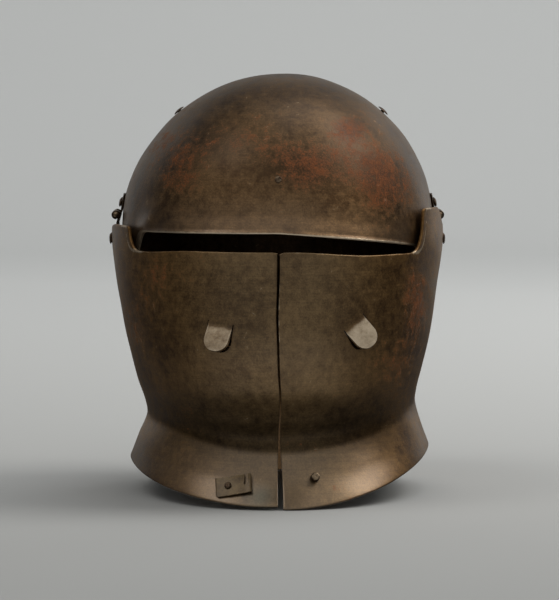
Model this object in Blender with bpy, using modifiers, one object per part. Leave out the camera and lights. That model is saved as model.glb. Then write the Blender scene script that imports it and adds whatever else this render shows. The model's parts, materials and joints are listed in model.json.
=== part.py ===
"""Closed knight's helmet (armet): a raised steel skull with a narrow tail down the nape, and two
cheek pieces that hang on fore-and-aft hinges at the temples, meet at the chin and flare into a
collar. Metres, +Z up, face towards -Y. The origin is the middle of the base that it stands on."""

import math

import bmesh
import bpy
from mathutils import Matrix, Vector

# ---- driving dimensions -------------------------------------------------------------------
SHEET = 0.0021  # raised steel sheet
GAP = 0.0003  # what two pieces that touch keep between their meshes

CROWN_Z = 0.2780
EQUATOR_Z = 0.1728  # the dome is half an ellipsoid above this level
SKULL_HALF_WIDTH = 0.1043
SKULL_FRONT = 0.1170
SKULL_BACK = 0.1260
CROWN_LEAN = 0.0027  # the crown sits this far towards +X

# For each side, -1 for -X and 1 for +X, angles are degrees from the front.
BROW_Z = 0.1767  # upper edge of the sight, at its middle
BROW_FALL = {-1: (0.0014, 2.0), 1: (0.0104, 1.15)}  # the brow's fall to its end, and its exponent
BROW_FLARE = 0.0022
BROW_CORNER = {-1: (54.5, 63.5), 1: (59.0, 64.5)}  # where the skull's edge turns down
SKULL_SIDE_Z = 0.1500  # lower edge of the skull's sides, hidden by the cheek pieces
TAIL_EDGE = 165.3  # the side edge of the nape tail
TAIL_TOP_Z = 0.0800

SIGHT_Z = 0.1653  # lower edge of the sight, at its middle
SIGHT_FALL = {-1: (0.0020, 30, 52), 1: (0.0030, 4, 34)}  # how far it falls, between two angles
NOTCH = {-1: (53.5, 61.8), 1: (50.0, 60.6)}  # foot and head of the notch at the sight's end
NOTCH_TOP_Z = {-1: 0.1790, 1: 0.1905}
HINGE_TOP_Z = {-1: 0.1768, 1: 0.1785}  # upper edge of the cheek piece beside the hinge
CHEEK_REAR = 168.6  # the rear edge that laps over the tail
CHEEK_REAR_Z = 0.0920
LOW_LEAN = 0.0040  # the +X side of neck and collar sits this much higher, the -X side lower
SEAM_X = {-1: -0.0001, 1: 0.0009}  # chin edge of each cheek piece
SEAM_SPREAD = 0.0028  # how far the +X chin edge opens at the rim
SEAM_PROUD = 0.0012  # how far the +X chin edge stands proud
RIM_LIFT = {-1: 0.0018, 1: 0.0}  # how much higher the front rim of each side sits
RIM_Z = 0.0008  # outer edge of the lowest rim; its inner edge is filed flat to stand on

# Level rings of the cheek pieces, top to rim: (height at side, front and back, half width,
# reach to the front, reach to the back, shift towards +X)
RINGS = (
    (0.1950, 0.1950, 0.1950, 0.1093, 0.1180, 0.1300, -0.0004),
    (0.1680, 0.1680, 0.1680, 0.1107, 0.1213, 0.1300, -0.0004),
    (0.1400, 0.1400, 0.1400, 0.1076, 0.1243, 0.1268, -0.0004),
    (0.1080, 0.1080, 0.1080, 0.1019, 0.1252, 0.1165, 0.0004),
    (0.0780, 0.0770, 0.0780, 0.0950, 0.1182, 0.1058, 0.0010),
    (0.0640, 0.0560, 0.0620, 0.0909, 0.1070, 0.1007, 0.0020),
    (0.0550, 0.0410, 0.0460, 0.0899, 0.1010, 0.0978, 0.0021),
    (0.0415, 0.0190, 0.0230, 0.0945, 0.1090, 0.1005, 0.0011),
    (0.0262, RIM_Z, RIM_Z, 0.1004, 0.1225, 0.1065, 0.0012),
)
DIP = 1.4  # exponent of the rim's dip from the shoulders to the front and the back
EASE = 0.02  # keeps that power smooth where the cosine is zero
TAIL_INSET = SHEET + 0.0015  # the tail lies this far inside the cheek pieces

HINGE_X, HINGE_Z = 0.1078, 0.1842
KNUCKLE_R, PIN_R = 0.0030, 0.0015
KNUCKLE_CLEAR = 0.0001
HINGE_HALF = 0.0120  # half the hinge's length along Y
MIDDLE_KNUCKLE = 0.0045  # half length
LEAF = 0.0013
HINGE_RIVET_Y = 0.0068

RIVET_SHANK = 0.0014
LINING_RIVET_Z = {"right": 0.2528, "left": 0.2528}
FRONT_RIVET_Z = 0.2112
REAR_RIVET_Z = 0.2150
STRAP_WIDTH, STRAP = 0.0220, 0.0018
CAP = 0.0080  # quilted lining
CAP_EDGE_Z = 0.1870

STEEL = ((0.075, 0.055, 0.040), 0.42, 0.85)
IRON = ((0.060, 0.048, 0.038), 0.50, 0.85)
LEATHER = ((0.110, 0.052, 0.024), 0.70, 0.0)
LINEN = ((0.420, 0.350, 0.240), 0.90, 0.0)


# ---- scene and mesh helpers ---------------------------------------------------------------
def clear_scene():
    for obj in list(bpy.data.objects):
        bpy.data.objects.remove(obj, do_unlink=True)


def collection(name):
    made = bpy.data.collections.new(name)
    bpy.context.scene.collection.children.link(made)
    return made


def material(name, look):
    colour, roughness, metallic = look
    made = bpy.data.materials.new(name)
    made.use_nodes = True
    shader = made.node_tree.nodes["Principled BSDF"]
    shader.inputs["Base Color"].default_value = (*colour, 1.0)
    shader.inputs["Roughness"].default_value = roughness
    shader.inputs["Metallic"].default_value = metallic
    return made


def new_object(name, mesh, home, look=None):
    obj = bpy.data.objects.new(name, mesh)
    home.objects.link(obj)
    if look is not None:
        mesh.materials.append(material(name, look))
    return obj


def mesh_from(name, points, faces):
    mesh = bpy.data.meshes.new(name)
    mesh.from_pydata([tuple(p) for p in points], [], faces)
    mesh.validate()
    return shaded(mesh)


def solidify(obj, thickness, offset=-1.0):
    thick = obj.modifiers.new("thickness", "SOLIDIFY")
    thick.thickness = thickness
    thick.offset = offset
    thick.use_even_offset = True


def cutter(name, mesh):
    """A hidden helper for a Boolean."""
    obj = new_object(name, mesh, HELPERS)
    obj.hide_render = True
    obj.display_type = "WIRE"
    return obj


def boolean(obj, other, operation):
    made = obj.modifiers.new(other.name, "BOOLEAN")
    made.object = other
    made.operation = operation
    made.solver = "EXACT"


def shaded(mesh):
    """Shades a mesh smooth, but for its sharp edges."""
    mesh.shade_smooth()
    mesh.set_sharp_from_angle(angle=math.radians(35))
    return mesh


def evaluated_mesh(name, obj):
    """The welded mesh that an object's curve or modifiers make; the object is removed."""
    bpy.context.view_layer.update()
    graph = bpy.context.evaluated_depsgraph_get()
    mesh = bpy.data.meshes.new_from_object(obj.evaluated_get(graph))
    bpy.data.objects.remove(obj, do_unlink=True)
    made = bmesh.new()
    made.from_mesh(mesh)
    bmesh.ops.remove_doubles(made, verts=made.verts, dist=0.000001)
    bmesh.ops.recalc_face_normals(made, faces=made.faces)
    made.to_mesh(mesh)
    made.free()
    mesh.name = name
    return shaded(mesh)


def turned(name, profile, sides):
    """A closed solid turned about Z: the profile's (radius, height) pairs, from top to bottom."""
    rows = [(0.0, profile[0][1]), *profile, (0.0, profile[-1][1])]
    line = bpy.data.meshes.new(name)
    edges = [(k, k + 1) for k in range(len(rows) - 1)]
    line.from_pydata([(radius, 0.0, height) for radius, height in rows], edges, [])
    obj = new_object(name, line, HELPERS)
    screw = obj.modifiers.new("turn", "SCREW")
    screw.steps = screw.render_steps = sides
    screw.use_merge_vertices = True
    screw.merge_threshold = 0.00001
    return evaluated_mesh(name, obj)


def cylinder(name, radius, start, end, sides=20):
    """A cylinder mesh from start to end."""
    start, end = Vector(start), Vector(end)
    along = end - start
    made = bmesh.new()
    bmesh.ops.create_cone(
        made, cap_ends=True, segments=sides, radius1=radius, radius2=radius, depth=along.length
    )
    mesh = bpy.data.meshes.new(name)
    made.to_mesh(mesh)
    made.free()
    turn = along.to_track_quat("Z", "Y").to_matrix().to_4x4()
    mesh.transform(Matrix.Translation((start + end) / 2) @ turn)
    return shaded(mesh)


def prism(name, outline, low, high):
    """A flat outline extruded along Z from low to high."""
    curve = bpy.data.curves.new(name, "CURVE")
    curve.dimensions = "2D"
    curve.fill_mode = "BOTH"
    curve.extrude = (high - low) / 2
    spline = curve.splines.new("POLY")
    spline.points.add(len(outline) - 1)
    for point, (x, y) in zip(spline.points, outline):
        point.co = (x, y, 0.0, 1.0)
    spline.use_cyclic_u = True
    mesh = evaluated_mesh(name, new_object(name, curve, HELPERS))
    mesh.transform(Matrix.Translation((0, 0, (low + high) / 2)))
    return mesh


# ---- the helmet's surfaces ----------------------------------------------------------------
def smooth(low, high, value):
    share = min(1.0, max(0.0, (value - low) / (high - low)))
    return share * share * (3 - 2 * share)


def through(heights, values, height):
    """A smooth curve through (height, value) pairs; heights fall."""
    last = len(heights) - 1
    k = next((n for n in range(last) if height >= heights[n + 1]), last - 1)

    def slope(n):
        a, b = max(0, n - 1), min(last, n + 1)
        return (values[b] - values[a]) / (heights[b] - heights[a])

    span = heights[k + 1] - heights[k]
    t = (height - heights[k]) / span
    t2, t3 = t * t, t * t * t
    return (
        (2 * t3 - 3 * t2 + 1) * values[k]
        + (t3 - 2 * t2 + t) * span * slope(k)
        + (3 * t2 - 2 * t3) * values[k + 1]
        + (t3 - t2) * span * slope(k + 1)
    )


def ring_heights(turn):
    """The height of each ring at an angle from the front."""
    dip = ((math.cos(turn) ** 2 + EASE) ** (DIP / 2) - EASE ** (DIP / 2)) / (
        (1 + EASE) ** (DIP / 2) - EASE ** (DIP / 2)
    )
    lean = LOW_LEAN * math.sin(turn) * abs(math.sin(turn))
    found = []
    for k, (side, front, back, *_) in enumerate(RINGS):
        end = front if math.cos(turn) >= 0 else back
        found.append(side + (end - side) * dip + lean * smooth(2, 5, k))
    if math.cos(turn) > 0:
        found[-1] += RIM_LIFT[1 if turn >= 0 else -1] * dip
    return found


def cheek_point(turn, height):
    """A point of the cheek pieces' outer surface. turn is from the front, towards +X."""
    heights = ring_heights(turn)
    half = through(heights, [ring[3] for ring in RINGS], height)
    column = 4 if math.cos(turn) >= 0 else 5
    reach = through(heights, [ring[column] for ring in RINGS], height)
    shift = through(heights, [ring[6] for ring in RINGS], height) * abs(math.sin(turn))
    return Vector((half * math.sin(turn) + shift, -reach * math.cos(turn), height))


def skull_point(turn, height):
    """A point of the skull's outer surface: an ellipsoid above the equator, and below it a wall
    that runs into the nape tail, inside the cheek pieces."""
    reach = SKULL_FRONT if math.cos(turn) >= 0 else SKULL_BACK
    if height >= EQUATOR_Z:
        rise = (height - EQUATOR_Z) / (CROWN_Z - EQUATOR_Z)
        share = math.sqrt(max(0.0, 1 - rise * rise))
        half, reach = SKULL_HALF_WIDTH * share, reach * share
        half_point = Vector((half * math.sin(turn), -reach * math.cos(turn), height))
        half_point.x += CROWN_LEAN * smooth(0.190, CROWN_Z, height)
    else:
        wall = Vector((SKULL_HALF_WIDTH * math.sin(turn), -reach * math.cos(turn), height))
        outside = cheek_point(turn, height)
        flat = Vector((outside.x, outside.y, 0.0))
        inside = outside - flat.normalized() * TAIL_INSET
        half_point = wall.lerp(inside, smooth(EQUATOR_Z, 0.118, height))
    fade = 1 - smooth(math.radians(32), math.radians(52), abs(turn))
    flare = BROW_FLARE * fade * (1 - smooth(0.0, 0.013, height - brow_height(turn)))
    half_point.x += flare * math.sin(turn)
    half_point.y -= flare * math.cos(turn)
    return half_point


def brow_height(turn):
    fall, exponent = BROW_FALL[1 if turn >= 0 else -1]
    return BROW_Z - fall * abs(math.degrees(turn) / 57.5) ** exponent


def cheek_top(side, turn):
    """Upper edge of a cheek piece: the sight, the notch at its end, then back to the tail."""
    angle = abs(math.degrees(turn))
    foot, head = NOTCH[side]
    fall, start, end = SIGHT_FALL[side]
    sight = SIGHT_Z - fall * smooth(start, end, angle)
    if angle <= head:
        return sight + (NOTCH_TOP_Z[side] - sight) * max(0.0, (angle - foot) / (head - foot)) ** 4
    beside = NOTCH_TOP_Z[side] + (HINGE_TOP_Z[side] - NOTCH_TOP_Z[side]) * smooth(74, 84, angle)
    return beside + (CHEEK_REAR_Z - HINGE_TOP_Z[side]) * smooth(96, CHEEK_REAR + 8, angle)


def skull_low(turn):
    """Lower edge of the skull, without the tail."""
    angle = abs(math.degrees(turn))
    start, end = BROW_CORNER[1 if turn >= 0 else -1]
    if angle <= end:
        fall = max(0.0, (angle - start) / (end - start)) ** 3
        return brow_height(turn) + (SKULL_SIDE_Z - brow_height(turn)) * fall
    return SKULL_SIDE_Z + (TAIL_TOP_Z - SKULL_SIDE_Z) * smooth(100, TAIL_EDGE + 6, angle)


def normal_at(point_of, turn, height, step=0.0005):
    across = point_of(turn + step * 8, height) - point_of(turn - step * 8, height)
    down = point_of(turn, height - step) - point_of(turn, height + step)
    return down.cross(across).normalized()


def frame_on(point_of, turn, height, lift=0.0):
    """A frame on a surface: Z out of it, Y up along it."""
    out = normal_at(point_of, turn, height)
    up = (Vector((0, 0, 1)) - out * out.z).normalized()
    across = up.cross(out)
    turned_to = Matrix((across, up, out)).transposed().to_4x4()
    return Matrix.Translation(point_of(turn, height) + out * lift) @ turned_to


def turn_at(point_of, x, height):
    """The angle from the front at which a surface's front half reaches x."""
    low, high = math.radians(-80), math.radians(80)
    for _ in range(40):
        middle = (low + high) / 2
        low, high = (middle, high) if point_of(middle, height).x < x else (low, middle)
    return (low + high) / 2


# ---- skull --------------------------------------------------------------------------------
def span(start, end, count):
    return [start + (end - start) * k / count for k in range(count + 1)]


def skull_columns():
    """Angles from the front, all the way round, close together at the edges' corners."""
    sides = {}
    for side, (start, end) in BROW_CORNER.items():
        sides[side] = span(0, start, 6)[1:] + span(start, end, 3)[1:]
        sides[side] += span(end, 84, 2)[1:] + [90, 96] + span(96, TAIL_EDGE, 6)[1:] + [172.5]
    degrees = [0.0] + sides[1] + [180.0] + [-angle for angle in reversed(sides[-1])]
    return [math.radians(angle) for angle in degrees]


def make_skull():
    columns, rows, tail_rows = skull_columns(), 10, 8
    points, faces, index = [Vector((CROWN_LEAN, 0, CROWN_Z))], [], {}

    def place(column, row, point):
        index[column, row] = len(points)
        points.append(point)

    for c, turn in enumerate(columns):
        low = skull_low(turn)
        fall = math.acos(min(1.0, max(0.0, (low - EQUATOR_Z) / (CROWN_Z - EQUATOR_Z))))
        for r in range(1, rows + 1):
            share = r / rows
            if low >= EQUATOR_Z:
                height = EQUATOR_Z + (CROWN_Z - EQUATOR_Z) * math.cos(fall * share)
            else:
                length = 1 + (EQUATOR_Z - low) / (CROWN_Z - EQUATOR_Z) * 2 / math.pi
                travel = share * length
                height = EQUATOR_Z - (travel - 1) * (CROWN_Z - EQUATOR_Z) * math.pi / 2
                if travel < 1:
                    height = EQUATOR_Z + (CROWN_Z - EQUATOR_Z) * math.cos(travel * math.pi / 2)
            place(c, r, skull_point(turn, height))
        if abs(math.degrees(turn)) >= TAIL_EDGE - 0.01:
            rim = ring_heights(turn)[-1] - 0.0009
            for r in range(1, tail_rows + 1):
                height = low + (rim - low) * r / tail_rows
                place(c, rows + r, skull_point(turn, height))
    count = len(columns)
    for c in range(count):
        n = (c + 1) % count
        faces.append((0, index[c, 1], index[n, 1]))
        for r in range(1, rows + tail_rows):
            corners = ((c, r), (c, r + 1), (n, r + 1), (n, r))
            if all(corner in index for corner in corners):
                faces.append(tuple(index[corner] for corner in corners))
    skull = new_object("skull", mesh_from("skull", points, faces), HELMET, STEEL)
    solidify(skull, SHEET)
    file_flat(skull)
    return skull


def file_flat(piece):
    """Takes off what reaches below the floor that the helmet stands on."""
    below = block(f"{piece.name}_floor", (0.4, 0.4, 0.02), (0, 0, -0.01))
    boolean(piece, cutter(below.name, below), "DIFFERENCE")


# ---- cheek pieces -------------------------------------------------------------------------
def make_cheek(name, side):
    """side is -1 for the wearer's right cheek (-X) and 1 for the left."""
    foot, head = NOTCH[side]
    angles = span(0, foot, 6) + span(foot, head, 4)[2:] + span(head, 74, 2)[1:]
    angles += [80, 84, 90, 96] + span(96, CHEEK_REAR, 7)[1:]
    rows = 13
    points, faces = [], []
    for angle in angles:
        turn = math.radians(angle) * side
        heights = ring_heights(turn)
        top = cheek_top(side, turn)
        above = next(k for k in range(len(heights) - 1) if top >= heights[k + 1])
        start = above + (heights[above] - top) / (heights[above] - heights[above + 1])
        for r in range(rows + 1):
            ring = start + (len(heights) - 1 - start) * r / rows
            k = min(int(ring), len(heights) - 2)
            height = heights[k] + (heights[k + 1] - heights[k]) * (ring - k)
            points.append(seam_shift(side, cheek_point(turn, height)))
    for c in range(len(angles) - 1):
        for r in range(rows):
            near, far = c * (rows + 1) + r, (c + 1) * (rows + 1) + r
            face = (near, near + 1, far + 1, far)
            faces.append(face if side > 0 else tuple(reversed(face)))
    cheek = new_object(name, mesh_from(name, points, faces), HELMET, STEEL)
    solidify(cheek, SHEET)
    file_flat(cheek)
    return cheek


def seam_shift(side, point):
    """Moves the chin edge of the -X or +X cheek piece to its side of the seam."""
    if point.y > 0:
        return point
    near = 1 - smooth(0.0, 0.030, abs(point.x))
    moved = point.copy()
    moved.x += SEAM_X[side] * near
    if side > 0:
        moved.x += SEAM_SPREAD * near * (1 - smooth(0.0, 0.060, point.z))
        moved.y -= SEAM_PROUD * (1 - smooth(0.0, 0.014, abs(point.x))) * smooth(0.02, 0.07, point.z)
    return moved


def rounded_square(width, length, radius):
    """Outline of a vent's tongue: the fold on y=0, its free end rounded, anticlockwise."""
    half, steps = width / 2, 4
    outline = [(half, 0.0)]
    for centre, start in (((half - radius, length - radius), 0), ((radius - half, length - radius), 90)):
        for k in range(steps + 1):
            turn = math.radians(start + 90 * k / steps)
            outline.append((centre[0] + radius * math.cos(turn), centre[1] + radius * math.sin(turn)))
    outline.append((-half, 0.0))
    return outline


def add_vent(cheek, x, height, spin, width, length, radius, lift):
    """A tongue cut on three sides and bent out of the sheet by lift degrees. Its fold's middle is
    at x and height, and spin turns the tongue's free end from straight down, anticlockwise."""
    turn = turn_at(cheek_point, x, height)
    spun = Matrix.Rotation(math.radians(180 + spin), 4, "Z")
    place = frame_on(cheek_point, turn, height) @ spun
    hole = prism(cheek.name + "_vent_hole", rounded_square(width, length, radius), -0.012, 0.012)
    hole.transform(place)
    boolean(cheek, cutter(hole.name, hole), "DIFFERENCE")
    inner = [(px * 0.94, py * 0.97 - 0.0016) for px, py in rounded_square(width, length, radius)]
    tongue = prism(cheek.name + "_vent_tongue", inner, -SHEET * 0.95, -SHEET * 0.02)
    tongue.transform(place @ Matrix.Rotation(math.radians(lift), 4, "X"))
    boolean(cheek, cutter(tongue.name, tongue), "UNION")


# ---- rivets -------------------------------------------------------------------------------
def rivet_mesh(name, head_r, head_h, grip, tail_r, tail_h, sides=12):
    """A rivet on Z: the head stands over z=0, the shank goes down through the grip."""
    bottom = -grip - 2 * GAP
    profile = (
        (head_r * 0.62, head_h),
        (head_r, head_h * 0.45),
        (head_r, 0.0),
        (RIVET_SHANK, 0.0),
        (RIVET_SHANK, bottom),
        (tail_r, bottom),
        (tail_r, bottom - tail_h * 0.35),
        (tail_r * 0.55, bottom - tail_h),
    )
    return turned(name, profile, sides)


def add_rivet(name, place, grip, through_pieces, head=(0.0035, 0.0013), tail=(0.0024, 0.0007)):
    """A rivet standing GAP over the surface at place, and its hole in each piece."""
    mesh = rivet_mesh(name, *head, grip, *tail)
    rivet = new_object(name, mesh, HELMET, IRON)
    rivet.matrix_world = place @ Matrix.Translation((0, 0, GAP))
    for piece in through_pieces:
        hole = cylinder(name + "_hole", RIVET_SHANK + GAP, (0, 0, -0.016), (0, 0, 0.008), 12)
        hole.transform(place)
        boolean(piece, cutter(f"{name}_hole_in_{piece.name}", hole), "DIFFERENCE")
    return rivet


# ---- hinges -------------------------------------------------------------------------------
def make_hinge(label, side, skull, cheek):
    """Upper leaf riveted outside the skull, lower leaf inside the cheek piece, one pin."""
    axis = Vector((side * HINGE_X, 0.0, HINGE_Z))
    upper_name, lower_name = f"hinge_upper_leaf_{label}", f"hinge_lower_leaf_{label}"

    def along_axis(name, radius, start, end):
        return cylinder(name, radius, axis + Vector((0, start, 0)), axis + Vector((0, end, 0)), 18)

    # The upper leaf lies on the skull above the axis and ends in the middle knuckle.
    beside = skull_point(side * math.pi / 2, 0.1912)
    out = normal_at(skull_point, side * math.pi / 2, 0.1912)
    tilt = Matrix.Rotation(math.atan2(out.z, side * out.x) * -side, 4, "Y")
    upper = block(upper_name, (LEAF, 2 * HINGE_HALF, 0.0132))
    upper.transform(Matrix.Translation(beside + out * (LEAF / 2 + GAP)) @ tilt)
    leaf_up = new_object(upper_name, upper, HELMET, IRON)
    for sign in (-1, 1):
        middle = sign * (MIDDLE_KNUCKLE + HINGE_HALF / 2)
        size = (0.012, HINGE_HALF, 2 * KNUCKLE_R + 0.0012)
        room = block(f"{upper_name}_room_{sign}", size, axis + Vector((0, middle, 0)))
        boolean(leaf_up, cutter(room.name, room), "DIFFERENCE")
    hub = along_axis(upper_name + "_knuckle", KNUCKLE_R, -MIDDLE_KNUCKLE, MIDDLE_KNUCKLE)
    boolean(leaf_up, cutter(hub.name, hub), "UNION")

    # The lower leaf hangs from two outer knuckles, just inside the cheek piece.
    low, high = 0.1610, HINGE_Z - PIN_R - 0.0006
    wall = abs(cheek_point(side * math.pi / 2, low).x) - SHEET
    leaf_x = side * (wall - 0.0010 - LEAF / 2)
    lower = block(lower_name, (LEAF, 2 * HINGE_HALF, high - low), (leaf_x, 0, (low + high) / 2))
    leaf_down = new_object(lower_name, lower, HELMET, IRON)
    size = (0.012, 2 * (MIDDLE_KNUCKLE + GAP), 2 * KNUCKLE_R + 0.0012)
    room = block(lower_name + "_room", size, axis)
    boolean(leaf_down, cutter(room.name, room), "DIFFERENCE")
    outer = MIDDLE_KNUCKLE + GAP
    for number, start, end in ((1, -HINGE_HALF, -outer), (2, outer, HINGE_HALF)):
        ring = along_axis(f"{lower_name}_knuckle_{number}", KNUCKLE_R, start, end)
        boolean(leaf_down, cutter(ring.name, ring), "UNION")
    for leaf in (leaf_up, leaf_down):
        bore = along_axis(leaf.name + "_bore", PIN_R + KNUCKLE_CLEAR, -0.03, 0.03)
        boolean(leaf, cutter(bore.name, bore), "DIFFERENCE")
    over = HINGE_HALF + GAP
    ends = ((PIN_R * 1.35, over), (PIN_R * 1.1, over + 0.0008))
    profile = [*reversed(ends), (PIN_R, over), (PIN_R, -over)]
    profile += [(radius, -height) for radius, height in ends]
    pin = new_object(f"hinge_pin_{label}", turned("hinge_pin", profile, 16), HELMET, IRON)
    pin.matrix_world = Matrix.Translation(axis) @ Matrix.Rotation(math.radians(-90), 4, "X")

    for number, y in ((1, -HINGE_RIVET_Y), (2, HINGE_RIVET_Y)):
        place = frame_on(skull_point, side * (math.pi / 2 + y / SKULL_BACK), 0.1918, LEAF + 2 * GAP)
        add_rivet(
            f"hinge_upper_rivet_{label}_{number}",
            place,
            SHEET + LEAF + 4 * GAP,
            (skull, leaf_up),
            head=(0.0031, 0.0013),
            tail=(0.0024, 0.0006),
        )
        place = frame_on(cheek_point, side * (math.pi / 2 + y / 0.125), 0.1680)
        add_rivet(
            f"hinge_lower_rivet_{label}_{number}",
            place,
            SHEET + LEAF + 5 * GAP,
            (cheek, leaf_down),
            head=(0.0036, 0.0013),
            tail=(0.0024, 0.0006),
        )


def block(name, size, centre=(0, 0, 0)):
    """A box mesh with its size applied."""
    made = bmesh.new()
    bmesh.ops.create_cube(made, size=1.0)
    bmesh.ops.scale(made, vec=size, verts=made.verts)
    bmesh.ops.translate(made, vec=centre, verts=made.verts)
    mesh = bpy.data.meshes.new(name)
    made.to_mesh(mesh)
    made.free()
    return mesh


# ---- collar latch -------------------------------------------------------------------------
def make_latch(cheek_right, cheek_left):
    """The keeper plate riveted to the wearer's right collar, and the stud on the left one."""
    middle_x, middle_z, length, height = -0.0283, 0.0143, 0.0235, 0.0148
    turn, columns, rows = turn_at(cheek_point, middle_x, middle_z), 6, 4
    place = frame_on(cheek_point, turn, middle_z) @ Matrix.Rotation(math.radians(13), 4, "Z")
    points, faces = [], []
    for c in range(columns + 1):
        for r in range(rows + 1):
            flat = place @ Vector((length * (c / columns - 0.5), height * (r / rows - 0.5), 0))
            angle = turn_at(cheek_point, flat.x, flat.z)
            out = normal_at(cheek_point, angle, flat.z)
            points.append(cheek_point(angle, flat.z) + out * 2 * GAP)
    for c in range(columns):
        for r in range(rows):
            near, far = c * (rows + 1) + r, (c + 1) * (rows + 1) + r
            faces.append((near, far, far + 1, near + 1))
    plate = new_object("latch_plate", mesh_from("latch_plate", points, faces), HELMET, IRON)
    solidify(plate, 0.0012, offset=1.0)
    mouth = prism(
        "latch_notch",
        ((0.0068, -0.0005), (0.0086, -0.0012), (0.0098, 0.0008), (0.0104, 0.0120), (0.0086, 0.0120)),
        -0.006,
        0.006,
    )
    mouth.transform(place)
    boolean(plate, cutter("latch_notch", mouth), "DIFFERENCE")
    rivet_x = place @ Vector((-0.0034, 0.0, 0.0))
    angle = turn_at(cheek_point, rivet_x.x, rivet_x.z)
    place_rivet = frame_on(cheek_point, angle, rivet_x.z, 0.0012 + 2 * GAP)
    add_rivet(
        "latch_rivet",
        place_rivet,
        SHEET + 0.0012 + 3 * GAP,
        (cheek_right, plate),
        head=(0.0023, 0.0006),
    )
    angle = turn_at(cheek_point, 0.0236, 0.0190)
    place_stud = frame_on(cheek_point, angle, 0.0190)
    bottom = -SHEET - 3 * GAP
    profile = (
        (0.0022, 0.0034),
        (0.0028, 0.0028),
        (0.0029, 0.0),
        (0.0018, 0.0),
        (0.0018, bottom),
        (0.0026, bottom),
        (0.0026, bottom - 0.0005),
        (0.0014, bottom - 0.0010),
    )
    stud = new_object("latch_stud", turned("latch_stud", profile, 18), HELMET, IRON)
    stud.matrix_world = place_stud @ Matrix.Translation((0, 0, 2 * GAP))
    hole = cylinder("latch_stud_hole", 0.0021, (0, 0, -0.010), (0, 0, 0.010), 18)
    hole.transform(place_stud)
    boolean(cheek_left, cutter("latch_stud_hole", hole), "DIFFERENCE")


# ---- lining -------------------------------------------------------------------------------
def inner_dome(direction, inset):
    """The point of the dome under a direction from its centre, inset from the skull's outside."""
    reach = SKULL_FRONT if direction.y < 0 else SKULL_BACK
    axes = Vector((SKULL_HALF_WIDTH - inset, reach - inset, CROWN_Z - EQUATOR_Z - inset))
    scaled = Vector((direction.x / axes.x, direction.y / axes.y, direction.z / axes.z))
    point = direction / scaled.length
    lean = CROWN_LEAN * smooth(0.190, CROWN_Z, EQUATOR_Z + point.z)
    return Vector((point.x + lean, point.y, point.z + EQUATOR_Z))


def strap(name, across, start, end, steps):
    """A leather strap against the skull's inside, over the crown from start to end degrees.
    across is 0 for a strap that runs fore and aft and 1 for one that runs side to side."""
    points, faces, inset = [], [], SHEET + 4 * GAP
    for k in range(steps + 1):
        turn = math.radians(start + (end - start) * k / steps)
        for offset in (-0.5, 0.0, 0.5):
            side = offset * STRAP_WIDTH / 0.108
            direction = Vector((math.sin(turn), side, math.cos(turn)))
            if not across:
                direction = Vector((side, math.sin(turn), math.cos(turn)))
            points.append(inner_dome(direction, inset))
    for k in range(steps):
        for n in range(2):
            face = (k * 3 + n, (k + 1) * 3 + n, (k + 1) * 3 + n + 1, k * 3 + n + 1)
            faces.append(face if across else tuple(reversed(face)))
    made = new_object(name, mesh_from(name, points, faces), HELMET, LEATHER)
    solidify(made, STRAP)
    return made


def make_lining(skull):
    """A leather harness riveted inside the skull, with a quilted linen cap sewn under it."""
    half_gap = math.degrees((STRAP_WIDTH / 2 + 2 * GAP) / 0.104)
    across = strap("lining_strap_across", 1, -50, 50, 14)
    front = strap("lining_strap_front", 0, -78, -half_gap, 10)
    rear = strap("lining_strap_rear", 0, half_gap, 78, 10)
    grip = SHEET + STRAP + 5 * GAP
    for label, side in (("right", -1), ("left", 1)):
        place = frame_on(skull_point, side * math.pi / 2, LINING_RIVET_Z[label])
        add_rivet(
            f"lining_rivet_{label}", place, grip, (skull, across), head=(0.0041, 0.0014), tail=(0.0030, 0.0006)
        )
    for label, turn, height, strip in (
        ("front", 0.0, FRONT_RIVET_Z, front),
        ("rear", math.pi, REAR_RIVET_Z, rear),
    ):
        place = frame_on(skull_point, turn, height)
        add_rivet(
            f"lining_rivet_{label}", place, grip, (skull, strip), head=(0.0022, 0.0003), tail=(0.0030, 0.0006)
        )
    columns, rows = 24, 6
    inset = SHEET + STRAP + 0.0030
    points, faces = [inner_dome(Vector((0, 0, 1)), inset)], []
    low = math.acos((CAP_EDGE_Z - EQUATOR_Z) / (CROWN_Z - EQUATOR_Z))
    for c in range(columns):
        turn = 2 * math.pi * c / columns
        for r in range(1, rows + 1):
            fall = low * r / rows
            direction = Vector(
                (math.sin(turn) * math.sin(fall), -math.cos(turn) * math.sin(fall), math.cos(fall))
            )
            points.append(inner_dome(direction, inset))
    for c in range(columns):
        here, there = c * rows, (c + 1) % columns * rows
        faces.append((0, here + 1, there + 1))
        for r in range(1, rows):
            faces.append((here + r, here + r + 1, there + r + 1, there + r))
    cap = new_object("lining_cap", mesh_from("lining_cap", points, faces), HELMET, LINEN)
    solidify(cap, CAP)


# ---- assembly -----------------------------------------------------------------------------
def hang_on_axis(label, side, cheek, fittings):
    """An empty on the hinge axis that carries a cheek piece, its lower leaf, its rivets and
    fittings, and the helpers that cut them."""
    axis = bpy.data.objects.new(f"hinge_axis_{label}", None)
    axis.empty_display_size = 0.02
    HELMET.objects.link(axis)
    axis.location = (side * HINGE_X, 0.0, HINGE_Z)
    bpy.context.view_layer.update()
    moving = [cheek.name, f"hinge_lower_leaf_{label}", *fittings]
    moving += [f"hinge_lower_rivet_{label}_{number}" for number in (1, 2)]
    for piece in [HELMET.objects[name] for name in moving]:
        helpers = [made.object for made in piece.modifiers if made.type == "BOOLEAN"]
        for obj in [piece, *helpers]:
            obj.parent = axis
            obj.matrix_parent_inverse = axis.matrix_world.inverted()


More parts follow.
